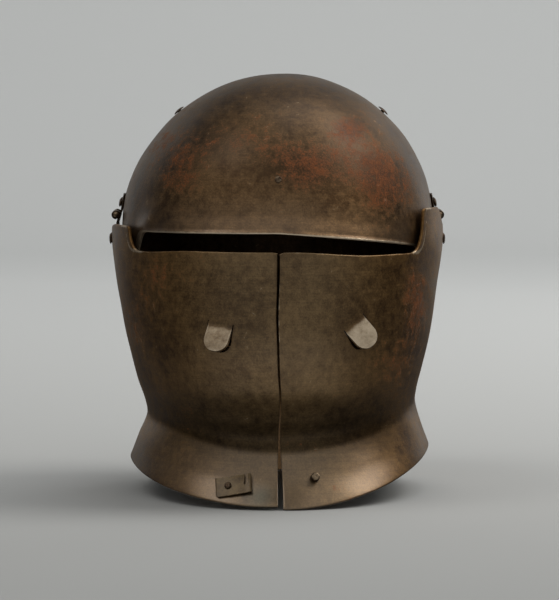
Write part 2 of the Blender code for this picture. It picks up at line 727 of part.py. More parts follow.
def stand_on_origin():
    """Moves the whole helmet so that the middle of its base is the origin."""
    bpy.context.view_layer.update()
    graph = bpy.context.evaluated_depsgraph_get()
    corners = []
    for obj in [o for o in HELMET.objects if o.type == "MESH"]:
        shown = obj.evaluated_get(graph)
        corners += [shown.matrix_world @ vertex.co for vertex in shown.data.vertices]
    middle = [(min(c[k] for c in corners) + max(c[k] for c in corners)) / 2 for k in (0, 1)]
    base = Vector((middle[0], middle[1], min(c.z for c in corners)))
    for obj in [*HELMET.objects, *HELPERS.objects]:
        if obj.parent is None:
            obj.matrix_world = Matrix.Translation(-base) @ obj.matrix_world
    return base


def main():
    skull = make_skull()
    cheek_right = make_cheek("cheek_piece_right", -1)
    cheek_left = make_cheek("cheek_piece_left", 1)
    add_vent(cheek_right, -0.0365, 0.1203, -9, 0.0182, 0.0195, 0.0084, 24)
    add_vent(cheek_left, 0.0507, 0.1203, 41, 0.0180, 0.0195, 0.0080, 28)
    make_hinge("right", -1, skull, cheek_right)
    make_hinge("left", 1, skull, cheek_left)
    make_latch(cheek_right, cheek_left)
    make_lining(skull)
    hang_on_axis("right", -1, cheek_right, ("latch_plate", "latch_rivet"))
    hang_on_axis("left", 1, cheek_left, ("latch_stud",))
    base = stand_on_origin()
    hinge_y, hinge_z = -base.y, HINGE_Z - base.z
    print(f"hinge axes: x {-HINGE_X - base.x:.5f} and {HINGE_X - base.x:.5f}, y {hinge_y:.5f}, z {hinge_z:.5f}")


clear_scene()
HELMET = collection("knight_helmet")
HELPERS = collection("cutters")
main()
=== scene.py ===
"""A knight's closed helmet (armet) in browned steel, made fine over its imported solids.

The skull is one raised sheet with a narrow tail down the nape. Two cheek pieces hang on
fore-and-aft hinges at the temples, meet at the chin and flare into a collar. Metres, +Z up, face
towards -Y. Angles (turns) are measured at the helmet's axis from the front, towards +X."""

import json
import logging
import math
from dataclasses import dataclass
from enum import Enum
from functools import partial
from typing import Callable, Sequence

import bmesh
import bpy
import numpy as np
from mathutils import Matrix, Vector

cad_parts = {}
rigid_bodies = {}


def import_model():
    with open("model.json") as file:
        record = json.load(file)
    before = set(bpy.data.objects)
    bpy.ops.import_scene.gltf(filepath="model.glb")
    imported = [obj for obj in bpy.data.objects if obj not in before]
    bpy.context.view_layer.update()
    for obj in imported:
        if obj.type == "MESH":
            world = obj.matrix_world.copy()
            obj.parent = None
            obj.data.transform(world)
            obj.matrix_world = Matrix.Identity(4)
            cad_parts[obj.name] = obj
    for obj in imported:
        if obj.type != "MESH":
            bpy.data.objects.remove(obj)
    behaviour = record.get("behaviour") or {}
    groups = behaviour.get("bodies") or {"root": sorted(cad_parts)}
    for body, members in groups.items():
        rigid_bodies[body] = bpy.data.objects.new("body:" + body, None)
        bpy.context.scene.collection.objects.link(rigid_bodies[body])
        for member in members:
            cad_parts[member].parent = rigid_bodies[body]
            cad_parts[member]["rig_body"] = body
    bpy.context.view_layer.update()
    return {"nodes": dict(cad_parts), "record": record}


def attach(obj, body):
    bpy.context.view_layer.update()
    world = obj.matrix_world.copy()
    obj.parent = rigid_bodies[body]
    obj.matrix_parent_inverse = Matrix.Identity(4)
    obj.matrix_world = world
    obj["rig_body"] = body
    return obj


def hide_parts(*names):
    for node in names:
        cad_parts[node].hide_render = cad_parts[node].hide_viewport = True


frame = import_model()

log = logging.getLogger("helmet")

Array = np.ndarray
Surface = Callable[[Array, Array], Array]
Mesh, Object, Socket = bpy.types.Mesh, bpy.types.Object, bpy.types.NodeSocket

GAP = 0.0003  # clear space between two pieces that touch
FINE = "_fine"  # ends the name of each finished piece
ROUNDING = 1 - np.cos(np.radians([90, 66, 46, 30, 16, 0]))  # rows over a rounded edge, inmost first


# ---- choices ----
class Side(Enum):
    """The wearer's side that a piece is on; the value is the sign of its X."""

    RIGHT = -1
    LEFT = 1

    @property
    def label(self) -> str:
        """The side's word in the names of nodes."""
        return self.name.lower()

    @property
    def body(self) -> str:
        """The body that the cheek piece of this side moves with."""
        return f"cheek_{self.label}"


class Slot(Enum):
    """The record's material slots."""

    STEEL = "steel"
    IRON = "iron"
    LEATHER = "leather"
    LINEN = "linen"


# ---- small mathematics ----
def smooth(low: float, high: float, value: Array) -> Array:
    """Rises from 0 at low to 1 at high along 3s^2 - 2s^3."""
    share = np.clip((value - low) / (high - low), 0.0, 1.0)
    return share * share * (3.0 - 2.0 * share)


def through(heights: Array, values: Sequence[float], height: Array) -> Array:
    """A smooth curve through (height, value) pairs: on each span the cubic whose end slopes are
    those of the chords between the neighbouring pairs.

    Args:
        heights: The pairs' heights, falling along the first axis.
        values: The pairs' values.
        height: Where the curve is read.

    Returns:
        The curve's values in the shape of height.
    """
    last = len(values) - 1

    def slope(n: int) -> Array:
        """Slope of the chord from the pair before to the pair after."""
        a, b = max(0, n - 1), min(last, n + 1)
        return (values[b] - values[a]) / (heights[b] - heights[a])

    found = np.zeros(np.shape(height))
    for k in range(last):
        run = heights[k + 1] - heights[k]
        t = (height - heights[k]) / run
        t2, t3 = t * t, t * t * t
        piece = (
            (2 * t3 - 3 * t2 + 1) * values[k]
            + (t3 - 2 * t2 + t) * run * slope(k)
            + (3 * t2 - 2 * t3) * values[k + 1]
            + (t3 - t2) * run * slope(k + 1)
        )
        found = piece if k == 0 else np.where(height < heights[k], piece, found)
    return found


def unit(vectors: Array) -> Array:
    """The vectors scaled to length one."""
    return vectors / np.maximum(np.linalg.norm(vectors, axis=-1, keepdims=True), 1e-12)


def carried(matrix: Matrix, points: Array) -> Array:
    """The points carried by a matrix."""
    rows = np.array(matrix)
    return points @ rows[:3, :3].T + rows[:3, 3]


def resampled(path: Array, marks: Array, along: Array) -> Array:
    """Each column of a path, whose rows lie at marks, read at the distances along."""
    return np.stack([np.interp(along, marks, column) for column in path.T], axis=-1)


def lengths(points: Array) -> Array:
    """Distance of each point from the first, along the points."""
    steps = np.linalg.norm(np.diff(points, axis=0), axis=1)
    return np.concatenate([[0.0], np.cumsum(steps)])


def rounded(surface: Surface, turn: Array, height: Array, width: int) -> tuple[Array, Array]:
    """Rounds the corners of a path on a surface: two running means of points half a millimetre
    apart, mirrored through the ends so that they stay.

    Args:
        surface: The surface.
        turn: Angles along the path.
        height: Heights along the path.
        width: Points taken on either side.

    Returns:
        The path as (angle, height) rows, and each row's distance from the start.
    """
    marks = lengths(surface(turn, height))
    path = resampled(np.stack([turn, height], -1), marks, np.arange(0, marks[-1], 0.0005))
    kernel = np.ones(2 * width + 1) / (2 * width + 1)
    for _ in range(2):
        padded = np.pad(path, ((width, width), (0, 0)), mode="reflect", reflect_type="odd")
        path = np.stack([np.convolve(column, kernel, "valid") for column in padded.T], axis=-1)
    return path, lengths(surface(path[:, 0], path[:, 1]))


def rim_share(depth: Array, radius: float, power: float) -> Array:
    """How much of its half thickness a sheet has at a distance inside its edge: the superellipse
    1 - (1 - depth/radius)^power, taken to 1/power, so the edge is rounded over radius."""
    left = 1.0 - np.clip(depth / radius, 0.0, 1.0)
    return (1.0 - left**power) ** (1.0 / power)


# ---- the helmet's surfaces ----
@dataclass(frozen=True)
class Form:
    """The two outer surfaces that every sheet follows, in the helmet's own axes.

    The dome is half an ellipsoid above its equator, and below it a wall that runs down inside
    the cheek pieces. The cheek pieces are smooth curves through level rings. Pairs hold the
    values of the wearer's right (-X) and left (+X) side. Corners and ends are in degrees.
    """

    sheet: float = 0.0021
    crown_z: float = 0.2780
    equator_z: float = 0.1728
    skull_half: float = 0.1043
    skull_front: float = 0.1170
    skull_back: float = 0.1260
    crown_lean: float = 0.0027
    brow_z: float = 0.1767
    brow_fall: tuple = ((0.0014, 2.0), (0.0104, 1.15))
    brow_flare: float = 0.0022
    brow_lip: float = 0.0010
    brow_corner: tuple = ((54.5, 63.5), (59.0, 64.5))
    skull_side_z: float = 0.1500
    tail_edge: float = 165.3
    tail_top_z: float = 0.0800
    sight_z: float = 0.1653
    sight_fall: tuple = ((0.0020, 30, 52), (0.0030, 4, 34))
    notch: tuple = ((53.5, 61.8), (50.0, 60.6))
    notch_top_z: tuple = (0.1790, 0.1905)
    hinge_top_z: tuple = (0.1768, 0.1785)
    cheek_rear: float = 168.6
    cheek_rear_z: float = 0.0920
    low_lean: float = 0.0040
    seam_x: tuple = (0.0001, 0.0006)
    seam_waver: float = 0.0014
    seam_spread: float = 0.0028
    seam_proud: float = 0.0012
    rim_lift: tuple = (0.0018, 0.0)
    tail_inset: float = 0.0036
    rings: tuple = (
        (0.1950, 0.1950, 0.1950, 0.1093, 0.1180, 0.1300, -0.0004),
        (0.1680, 0.1680, 0.1680, 0.1107, 0.1213, 0.1300, -0.0004),
        (0.1400, 0.1400, 0.1400, 0.1076, 0.1243, 0.1268, -0.0004),
        (0.1080, 0.1080, 0.1080, 0.1019, 0.1252, 0.1165, 0.0004),
        (0.0780, 0.0770, 0.0780, 0.0950, 0.1182, 0.1058, 0.0010),
        (0.0640, 0.0560, 0.0620, 0.0909, 0.1070, 0.1007, 0.0020),
        (0.0550, 0.0410, 0.0460, 0.0899, 0.1010, 0.0978, 0.0021),
        (0.0415, 0.0190, 0.0230, 0.0945, 0.1090, 0.1005, 0.0011),
        (0.0262, 0.0008, 0.0008, 0.1004, 0.1225, 0.1065, 0.0012),
    )  # height at side, front and back, half width, reach to front and back, shift to +X

    def ring_heights(self, turn: Array, side: int | None = None) -> Array:
        """Height of each ring at an angle.

        A ring falls from its height at the side to that at the front or the back with a power
        1.4 of |cos|, kept smooth where it is zero. The +X side of neck and collar sits higher.

        Args:
            turn: Angles from the front.
            side: -1 or 1 for one cheek piece's own rim, or None to go by the angle's sign.

        Returns:
            One row of heights for each ring.
        """
        cos, sin, soft = np.cos(turn), np.sin(turn), 0.02
        dip = ((cos * cos + soft) ** 0.7 - soft**0.7) / ((1 + soft) ** 0.7 - soft**0.7)
        lean = self.low_lean * sin * np.abs(sin)
        rows = []
        for k, (beside, front, back, *_) in enumerate(self.rings):
            end = np.where(cos >= 0, front, back)
            rows.append(beside + (end - beside) * dip + lean * smooth(2, 5, np.float64(k)))
        lift = np.where((turn if side is None else side + 0 * turn) >= 0, self.rim_lift[1], self.rim_lift[0])
        rows[-1] = rows[-1] + np.where(cos > 0, lift * dip, 0.0)
        return np.stack(rows)

    def cheek(self, turn: Array, height: Array, side: int | None = None) -> Array:
        """Outer surface of the cheek pieces: x is half width times sine plus the ring's shift, y
        is minus the reach times cosine, each read from the rings at that height."""
        turn, height = np.broadcast_arrays(turn, height)
        heights = self.ring_heights(turn, side)
        half, front, back, shift = (
            through(heights, [ring[n] for ring in self.rings], height) for n in (3, 4, 5, 6)
        )
        reach = np.where(np.cos(turn) >= 0, front, back)
        x = half * np.sin(turn) + shift * np.abs(np.sin(turn))
        return np.stack([x, -reach * np.cos(turn), height], axis=-1)

    def brow(self, turn: Array) -> Array:
        """Height of the skull's front edge: a power of the angle below its middle."""
        share = np.abs(np.degrees(turn) / 57.5)
        right, left = (fall * share**power for fall, power in self.brow_fall)
        return self.brow_z - np.where(turn >= 0, left, right)

    def lean(self, height: Array) -> Array:
        """How far the dome leans to +X towards its crown."""
        return self.crown_lean * smooth(0.190, self.crown_z, height)

    def skull(self, turn: Array, height: Array) -> Array:
        """Outer surface of the skull: the ellipsoid above the equator; below it, the equator's
        wall eased into the cheek surface moved inwards. The brow flares out over 13 mm and is
        turned out again in a lip over the last 3 mm."""
        turn, height = np.broadcast_arrays(turn, height)
        sin, cos = np.sin(turn), np.cos(turn)
        reach = np.where(cos >= 0, self.skull_front, self.skull_back)
        rise = np.clip((height - self.equator_z) / (self.crown_z - self.equator_z), 0.0, 1.0)
        share = np.sqrt(1.0 - rise * rise)
        x = self.skull_half * share * sin + self.lean(height)
        dome = np.stack([x, -reach * share * cos, height], -1)
        outside = self.cheek(turn, height)
        inside = outside - unit(outside * np.array([1.0, 1.0, 0.0])) * self.tail_inset
        ease = smooth(self.equator_z, 0.118, height)[..., None]
        point = np.where((height >= self.equator_z)[..., None], dome, dome + (inside - dome) * ease)
        above, angle = height - self.brow(turn), np.abs(np.degrees(turn))
        flare = self.brow_flare * (1 - smooth(32, 52, angle)) * (1 - smooth(0.0, 0.013, above))
        flare = flare + self.brow_lip * (1 - smooth(50, 60, angle)) * (1 - smooth(0.0, 0.0032, above))
        return point + flare[..., None] * np.stack([sin, -cos, np.zeros_like(sin)], -1)

    def skull_low(self, turn: Array) -> Array:
        """Height of the skull's lower edge without the tail: the brow, a cubic fall at its
        corner, level under the hinge, and a smooth fall to the tail."""
        angle = np.abs(np.degrees(turn))
        right, left = self.brow_corner
        start, end = (np.where(turn >= 0, left[n], right[n]) for n in (0, 1))
        brow = self.brow(turn)
        fall = np.clip((angle - start) / (end - start), 0.0, 1.0) ** 3
        front = brow + (self.skull_side_z - brow) * fall
        rear = self.tail_top_z - self.skull_side_z
        back = self.skull_side_z + rear * smooth(100, self.tail_edge + 6, angle)
        return np.where(angle <= end, front, back)

    def cheek_top(self, side: int, turn: Array) -> Array:
        """Height of a cheek piece's upper edge: the sight, a fourth power up the notch at its
        end, level by the hinge, and a smooth fall to the rear."""
        angle, n = np.abs(np.degrees(turn)), side > 0
        (foot, head), (fall, start, end) = self.notch[n], self.sight_fall[n]
        top, hinge = self.notch_top_z[n], self.hinge_top_z[n]
        sight = self.sight_z - fall * smooth(start, end, angle)
        up = np.clip((angle - foot) / (head - foot), 0.0, 1.0) ** 4
        beside = top + (hinge - top) * smooth(74, 86, angle)
        rear = beside + (self.cheek_rear_z - hinge) * smooth(96, self.cheek_rear + 8, angle)
        return np.where(angle <= head, sight + (top - sight) * up, rear)

    def seam(self, side: int, points: Array) -> Array:
        """Moves the chin edge of a cheek piece to its side of the seam, fading over 30 mm. The
        +X edge opens towards the rim and stands proud over 14 mm. Both edges waver together, as
        they were filed to fit."""
        x, y, z = points[..., 0], points[..., 1], points[..., 2]
        near = (1 - smooth(0.0, 0.030, np.abs(x))) * (y <= 0)
        bulge, hollow = (np.exp(-(((z - at) / wide) ** 2)) for at, wide in ((0.067, 0.018), (0.125, 0.016)))
        across = (self.seam_x[side > 0] + self.seam_waver * (bulge - 0.5 * hollow)) * near
        proud = np.zeros_like(x)
        if side > 0:
            across = across + self.seam_spread * near * (1 - smooth(0.0, 0.060, z))
            proud = self.seam_proud * (1 - smooth(0.0, 0.014, np.abs(x))) * (y <= 0)
            proud = proud * smooth(0.02, 0.07, z)
        return np.stack([x + across, y - proud, z], axis=-1)


def slopes(surface: Surface, turn: Array, height: Array) -> tuple[Array, Array]:
    """Change of a surface's point with the angle and with the height, by central differences."""
    da, dh = 0.004, 0.0005
    across = (surface(turn + da, height) - surface(turn - da, height)) / (2 * da)
    upward = (surface(turn, height + dh) - surface(turn, height - dh)) / (2 * dh)
    return across, upward


def normals(surface: Surface, turn: Array, height: Array) -> Array:
    """Unit normals out of the helmet: across times upward."""
    return unit(np.cross(*slopes(surface, turn, height)))


def turn_at(surface: Surface, x: float, height: float) -> float:
    """The angle at which a surface's front half reaches x, by halving."""
    low, high = math.radians(-80), math.radians(80)
    for _ in range(40):
        middle = (low + high) / 2
        here = surface(np.array(middle), np.array(height))[0]
        low, high = (middle, high) if here < x else (low, middle)
    return (low + high) / 2


def frame_on(surface: Surface, turn: float, height: float, lift: float = 0.0) -> Matrix:
    """A frame at a height lift above a surface's point, with Z out of it and Y up along it."""
    turn, height = np.array(turn), np.array(height)
    out = Vector(normals(surface, turn, height))
    up = (Vector((0, 0, 1)) - out * out.z).normalized()
    spun = Matrix((up.cross(out), up, out)).transposed().to_4x4()
    return Matrix.Translation(Vector(surface(turn, height)) + out * lift) @ spun


@dataclass(frozen=True)
class Hammering:
    """The faint unevenness that raising and planishing leave: the sum of a few seeded plane
    waves, each a sine of the point along its own direction."""

    seed: int = 3
    waves: int = 14
    shortest: float = 0.020
    longest: float = 0.070
    swing: float = 0.00007

    def lift(self, points: Array) -> Array:
        """How far the sheet stands out at each point."""
        draw = np.random.default_rng(self.seed)
        ways = unit(draw.normal(size=(self.waves, 3)))
        wave = draw.uniform(self.shortest, self.longest, self.waves)
        phase = draw.uniform(0, 2 * np.pi, self.waves)
        angle = points @ (ways * (2 * np.pi / wave)[:, None]).T + phase
        return (np.sin(angle) * self.swing * wave / wave.mean()).sum(-1)


# ---- meshes ----
def linked(name: str, data: bpy.types.ID) -> Object:
    """A new object in the scene."""
    made = bpy.data.objects.new(name, data)
    bpy.context.scene.collection.objects.link(made)
    return made


def mesh_of(name: str, points: Array, faces: Sequence[Array]) -> Mesh:
    """A smooth mesh with its faces turned outwards and its coincident vertices joined.

    Args:
        name: The mesh's name.
        points: Vertices, one row each.
        faces: Arrays of faces, each array with one number of corners.

    Returns:
        The mesh.
    """
    mesh = bpy.data.meshes.new(name + FINE)
    mesh.from_pydata(points.tolist(), [], [face for block in faces for face in block.tolist()])
    work = bmesh.new()
    work.from_mesh(mesh)
    bmesh.ops.remove_doubles(work, verts=work.verts, dist=1e-6)
    bmesh.ops.dissolve_degenerate(work, edges=work.edges, dist=1e-7)
    if work.calc_volume(signed=True) < 0:
        bmesh.ops.reverse_faces(work, faces=work.faces)
    work.to_mesh(mesh)
    work.free()
    mesh.shade_smooth()
    return mesh


def grid_faces(index: Array, wrap: bool = False) -> Array:
    """Quads between the neighbours of a grid of vertex numbers; wrap joins its last column to
    its first."""
    after = np.roll(index, -1, axis=0) if wrap else index[1:]
    here = index if wrap else index[:-1]
    corners = (here[:, :-1], here[:, 1:], after[:, 1:], after[:, :-1])
    return np.stack([corner.ravel() for corner in corners], axis=-1)


def slab(name: str, middle: Array, out: Array, half: Array, poles: Array | None = None) -> Mesh:
    """A closed sheet: two grids at the middle plus and minus the half thickness along the
    normals, which meet where the half thickness is zero.

    Args:
        name: The mesh's name.
        middle: Middle surface, columns by rows by 3.
        out: Its unit normals.
        half: Half thickness at each point, zero along every open border.
        poles: For a bowl, the outer and inner point that its columns start from; its last
            column then joins its first.

    Returns:
        The mesh.
    """
    wrap, count = poles is not None, middle[..., 0].size
    index = np.arange(count).reshape(middle.shape[:2])
    points = [(middle + out * half[..., None]).reshape(-1, 3), (middle - out * half[..., None]).reshape(-1, 3)]
    faces = [grid_faces(index, wrap), grid_faces(index + count, wrap)[:, ::-1]]
    if wrap:
        first, after = index[:, 0], np.roll(index[:, 0], -1)
        points.append(poles)
        faces.append(np.stack([np.full(len(first), 2 * count), first, after], -1))
        faces.append(np.stack([np.full(len(first), 2 * count + 1), after + count, first + count], -1))
    return mesh_of(name, np.concatenate(points), faces)


def turned(name: str, profile: Array, sides: int, place: Matrix, waver: float) -> Mesh:
    """A closed turned solid: the profile's (radius, height) pairs carried round Z, bottom to top.

    Args:
        name: The mesh's name.
        profile: The pairs; the ends are capped with a point on the axis.
        sides: Points round the axis.
        place: Where the solid's axis goes.
        waver: Share by which the radius swells twice and three times a turn, as hand filing does.

    Returns:
        The mesh in place.
    """
    turn = np.linspace(0, 2 * np.pi, sides, endpoint=False)[:, None]
    swell = 1 + waver * (np.sin(2 * turn + 0.7) + 0.6 * np.sin(3 * turn + 2.1))
    radius, height = profile[None, :, 0] * swell, profile[None, :, 1] + 0 * turn
    points = np.stack([radius * np.cos(turn), radius * np.sin(turn), height], axis=-1)
    index = np.arange(radius.size).reshape(radius.shape)
    after = np.roll(index, -1, axis=0)
    ends = np.array([[0, 0, profile[0, 1]], [0, 0, profile[-1, 1]]])
    fans = [
        np.stack([np.full(sides, radius.size), after[:, 0], index[:, 0]], axis=-1),
        np.stack([np.full(sides, radius.size + 1), index[:, -1], after[:, -1]], axis=-1),
    ]
    mesh = mesh_of(name, np.concatenate([points.reshape(-1, 3), ends]), [grid_faces(index, True), *fans])
    mesh.transform(place)
    return mesh


def extruded(name: str, outer: Array, inner: Array, stations: Array) -> Mesh:
    """A band of constant section run along Y: the section lies between two paths in XZ.

    Args:
        name: The mesh's name.
        outer: Points of the section's outer path.
        inner: As many points of its inner path.
        stations: (Y, share) pairs; share draws the section in towards its middle path, which
            rounds the ends.

    Returns:
        The closed mesh.
    """
    middle, count = (outer + inner) / 2, len(outer)
    loop = np.concatenate([outer, inner[::-1]])
    centre = np.concatenate([middle, middle[::-1]])
    flat = centre[None] + (loop - centre)[None] * stations[:, 1][:, None, None]
    y = np.broadcast_to(stations[:, 0][:, None], flat.shape[:2])
    points = np.stack([flat[..., 0], y, flat[..., 1]], axis=-1)
    index = np.arange(y.size).reshape(y.shape)
    around = np.concatenate([index, index[:, :1]], axis=1)
    low, high = (
        np.stack([row[: count - 1], row[1:count], row[::-1][1:count], row[::-1][: count - 1]], -1)
        for row in (index[0], index[-1])
    )
    return mesh_of(name, points.reshape(-1, 3), [grid_faces(around), low, high[:, ::-1]])


def prism(name: str, outline: Sequence[tuple[float, float]], depth: float, place: Matrix) -> Object:
    """A tool with a flat outline, from depth below the frame's plane to depth above it."""
    work = bmesh.new()
    face = work.faces.new([work.verts.new((x, y, -depth)) for x, y in outline])
    raised = bmesh.ops.extrude_face_region(work, geom=[face])["geom"]
    verts = [v for v in raised if isinstance(v, bmesh.types.BMVert)]
    bmesh.ops.translate(work, vec=(0, 0, 2 * depth), verts=verts)
    bmesh.ops.recalc_face_normals(work, faces=work.faces)
    mesh = bpy.data.meshes.new(name)
    work.to_mesh(mesh)
    work.free()
    mesh.transform(place)
    return linked(name, mesh)


def combined(mesh: Mesh, tools: Sequence[Object], operation: str = "DIFFERENCE") -> Mesh:
    """Takes tools out of a mesh, or adds them to it, with exact Booleans.

    Args:
        mesh: The mesh; it is removed.
        tools: Closed objects; they are removed.
        operation: The Boolean's kind.

    Returns:
        The new mesh under the same name.
    """
    name = mesh.name
    carrier = linked(name + "_work", mesh)
    for tool in tools:
        step = carrier.modifiers.new(tool.name, "BOOLEAN")
        step.object, step.operation, step.solver = tool, operation, "EXACT"
    bpy.context.view_layer.update()
    graph = bpy.context.evaluated_depsgraph_get()
    made = bpy.data.meshes.new_from_object(carrier.evaluated_get(graph))
    for thing in (carrier, *tools):
        bpy.data.objects.remove(thing, do_unlink=True)
    bpy.data.meshes.remove(mesh)
    made.name = name
    made.materials.clear()
    return made


def creased(mesh: Mesh, degrees: float) -> Mesh:
    """The mesh shaded smooth but for edges sharper than an angle."""
    mesh.shade_smooth()
    mesh.set_sharp_from_angle(angle=math.radians(degrees))
    return mesh


def points_of(mesh: Mesh) -> Array:
    """A mesh's vertices as rows."""
    flat = np.empty(len(mesh.vertices) * 3)
    mesh.vertices.foreach_get("co", flat)
    return flat.reshape(-1, 3)


def move_points(mesh: Mesh, points: Array) -> None:
    """Puts a mesh's vertices at the rows of an array."""
    mesh.vertices.foreach_set("co", points.ravel())
    mesh.update()


def paint(mesh: Mesh, **layers: Array) -> None:
    """Gives each vertex, under each layer's name, a share from 0 to 1, or a colour where the
    rows have three values."""
    for name, values in layers.items():
        if values.ndim == 1:
            layer = mesh.attributes.new(name, "FLOAT", "POINT")
            layer.data.foreach_set("value", np.clip(values, 0, 1).astype(np.float32))
            continue
        layer = mesh.attributes.new(name, "FLOAT_COLOR", "POINT")
        rgba = np.concatenate([values, np.ones((len(values), 1))], axis=1)
        layer.data.foreach_set("color", rgba.astype(np.float32).ravel())


# ---- finishes ----
def colour(hex_code: str) -> tuple[float, ...]:
    """Linear colour of an sRGB hex code."""
    parts = [int(hex_code[n : n + 2], 16) / 255 for n in (1, 3, 5)]
    linear = [p / 12.92 if p <= 0.04045 else ((p + 0.055) / 1.055) ** 2.4 for p in parts]
    return (*linear, 1.0)


def plug(tree: bpy.types.NodeTree, node: bpy.types.Node, inputs: dict) -> None:
    """Fills a node's inputs, by name or number: each with a value, a hex colour or a link."""
    for key, value in inputs.items():
        if isinstance(value, Socket):
            tree.links.new(value, node.inputs[key])
        else:
            node.inputs[key].default_value = colour(value) if isinstance(value, str) else value


def add(
    tree: bpy.types.NodeTree,
    kind: str,
    *values: object,
    out: int | str = 0,
    named: dict | None = None,
    stops: Sequence[tuple] = (),
    **settings: object,
) -> Socket:
    """Adds a node.

    Args:
        tree: Node tree that it goes into.
        kind: The node's type, without the beginning that all types share.
        *values: What its first inputs get, as for plug.
        out: Number or name of the output handed back.
        named: What inputs further on get.
        stops: A colour ramp's (place, colour) pairs.
        **settings: Properties of the node.

    Returns:
        The output.
    """
    node = tree.nodes.new("ShaderNode" + kind)
    for key, value in settings.items():
        setattr(node, key, value)
    plug(tree, node, dict(enumerate(values)) | (named or {}))
    for n, (place, shade) in enumerate(stops):
        ramp = node.color_ramp.elements
        element = ramp[n] if n < len(ramp) else ramp.new(place)
        element.position, element.color = place, colour(shade) if isinstance(shade, str) else shade
    return node.outputs[out]


@dataclass(frozen=True)
class Finish:
    """What all finishes share: a name, and a lighter and a darker tone."""

    name: str
    body: str
    shade: str

    def inputs(self, node: Callable[..., Socket], place: Socket) -> dict:
        """What the shader's inputs get.

        Args:
            node: Adds a node to the finish's tree.
            place: The point's place on its piece, in metres.

        Returns:
            Values and outputs by the inputs' names.
        """
        raise NotImplementedError

    def material(self) -> bpy.types.Material:
        """Builds the finish as a material."""
        made = bpy.data.materials.new(self.name)
        made.use_nodes = True
        tree = made.node_tree
        node = partial(add, tree)
        place = node("TexCoord", out="Object")
        plug(tree, tree.nodes["Principled BSDF"], self.inputs(node, place))
        return made


@dataclass(frozen=True)
class BrownedSteel(Finish):
    """Raised steel sheet under an old brown patina and wax: the metal still gives a soft, wide
    sheen, redder and duller where it has rusted and healed, and bright where edges rub. It
    reads the attributes tint, wear, rust and polish of its piece; tint and wear also carry painted
    highlights and painted shade."""

    name: str = "browned_steel"
    body: str = "#745d3b"
    shade: str = "#49361d"
    rust_light: str = "#8c5129"
    rust_dark: str = "#482712"
    bright: str = "#cdbb9f"
    rough: float = 0.47
    patch: float = 0.042
    mottle: float = 0.0055
    grit: float = 0.0011
    scratch: float = 0.021

    def inputs(self, node: Callable[..., Socket], place: Socket) -> dict:
        """Patina, rust, scratches and worn edges, laid over one another in that order."""
        wear, rust, polish = (
            node("Attribute", out="Fac", attribute_name=name) for name in ("wear", "rust", "polish")
        )
        tint = node("Attribute", out="Color", attribute_name="tint")
        # broad clouds of patina some 40 mm across, mottling of 5 mm, and a gritty grain of 1 mm
        clouds, mottle, grit = (
            node("TexNoise", place, named={"Scale": 1 / size, "Detail": detail, "Roughness": rough})
            for size, detail, rough in ((self.patch, 5, 0.6), (self.mottle, 6, 0.7), (self.grit, 3, 0.65))
        )
        fine = node("Math", mottle, 0.52, operation="MULTIPLY")
        mixed = node("Math", clouds, 0.48, fine, operation="MULTIPLY_ADD")
        # polishing evens the mottling out
        uneven = node("Math", mixed, 0.52, operation="SUBTRACT")
        kept = node("MapRange", polish, 0.0, 1.0, 1.0, 0.35)
        mixed = node("Math", uneven, kept, 0.52, operation="MULTIPLY_ADD")
        tone = node("ValToRGB", mixed, stops=((0.41, self.shade), (0.58, self.body)))
        # polishing left level scratches a fraction of a millimetre wide and centimetres long
        lay = node("Mapping", place, named={3: (24.0, 24.0, 1100.0)})
        streak = node("TexNoise", lay, named={"Scale": 1.0, "Detail": 4, "Roughness": 0.7})
        grain = node("MapRange", grit, 0.3, 0.7, 0.72, 1.22)
        speck = node("Math", grain, node("MapRange", streak, 0.3, 0.7, -0.13, 0.13), operation="ADD")
        for factor in (speck, tint):
            tone = node("VectorMath", tone, factor, operation="MULTIPLY")

        # rust: the attribute says where, mottling breaks it into blotches and grit into grains
        reach = node("Math", mottle, clouds, operation="ADD")
        for value, share in ((grit, 0.5), (rust, 0.55)):
            reach = node("Math", value, share, reach, operation="MULTIPLY_ADD")
        rusted = node("MapRange", reach, 1.49, 1.77, 0.0, 0.85)
        grain = node("MapRange", node("Math", grit, mottle, operation="ADD"), 0.85, 1.2)
        scale = node("Mix", grain, named={6: self.rust_dark, 7: self.rust_light}, out=2, data_type="RGBA")
        tone = node("Mix", rusted, named={6: tone, 7: scale}, out=2, data_type="RGBA")

        # scratches: short stretches of the straight borders between cells, where the mottling lets
        cell = {"Scale": 1 / self.scratch, "Randomness": 1.0}
        border = node("TexVoronoi", place, named=cell, feature="DISTANCE_TO_EDGE")
        line = node("MapRange", border, 0.004, 0.011, 1.0, 0.0)
        line = node("Math", line, node("MapRange", mottle, 0.60, 0.68, 0.0, 0.34), operation="MULTIPLY")
        # worn edges, and painted highlights along the brow lip and the tongues: bright where the attribute and
        # the mottling agree
        rubbed = node("MapRange", node("Math", wear, mottle, operation="ADD"), 0.95, 1.45)
        rubbed = node("Math", rubbed, line, operation="MAXIMUM")
        tone = node("Mix", rubbed, named={6: tone, 7: self.bright}, out=2, data_type="RGBA")

        rough = node("MapRange", mottle, 0.3, 0.7, self.rough - 0.07, self.rough + 0.07)
        for value, share in ((polish, -0.08), (rusted, 0.24), (rubbed, -0.12), (streak, 0.08)):
            rough = node("Math", value, share, rough, operation="MULTIPLY_ADD")
        relief = mottle
        for value, share in ((grit, 0.55), (streak, 0.25), (rusted, 0.4)):
            relief = node("Math", value, share, relief, operation="MULTIPLY_ADD")
        # the wax lies thick where the steel was polished and has dried off the rust
        wax = node("Math", polish, node("MapRange", rusted, 0.0, 1.0, 1.0, 0.3), operation="MULTIPLY")
        return {
            "Base Color": tone,
            "Roughness": rough,
            "Metallic": node("MapRange", rusted, 0.0, 1.0, 0.94, 0.60),
            "Coat Weight": wax,
            "Coat IOR": 1.7,
            "Coat Roughness": 0.33,
            "Normal": node("Bump", 0.38, 0.00035, named={"Height": relief}),
        }


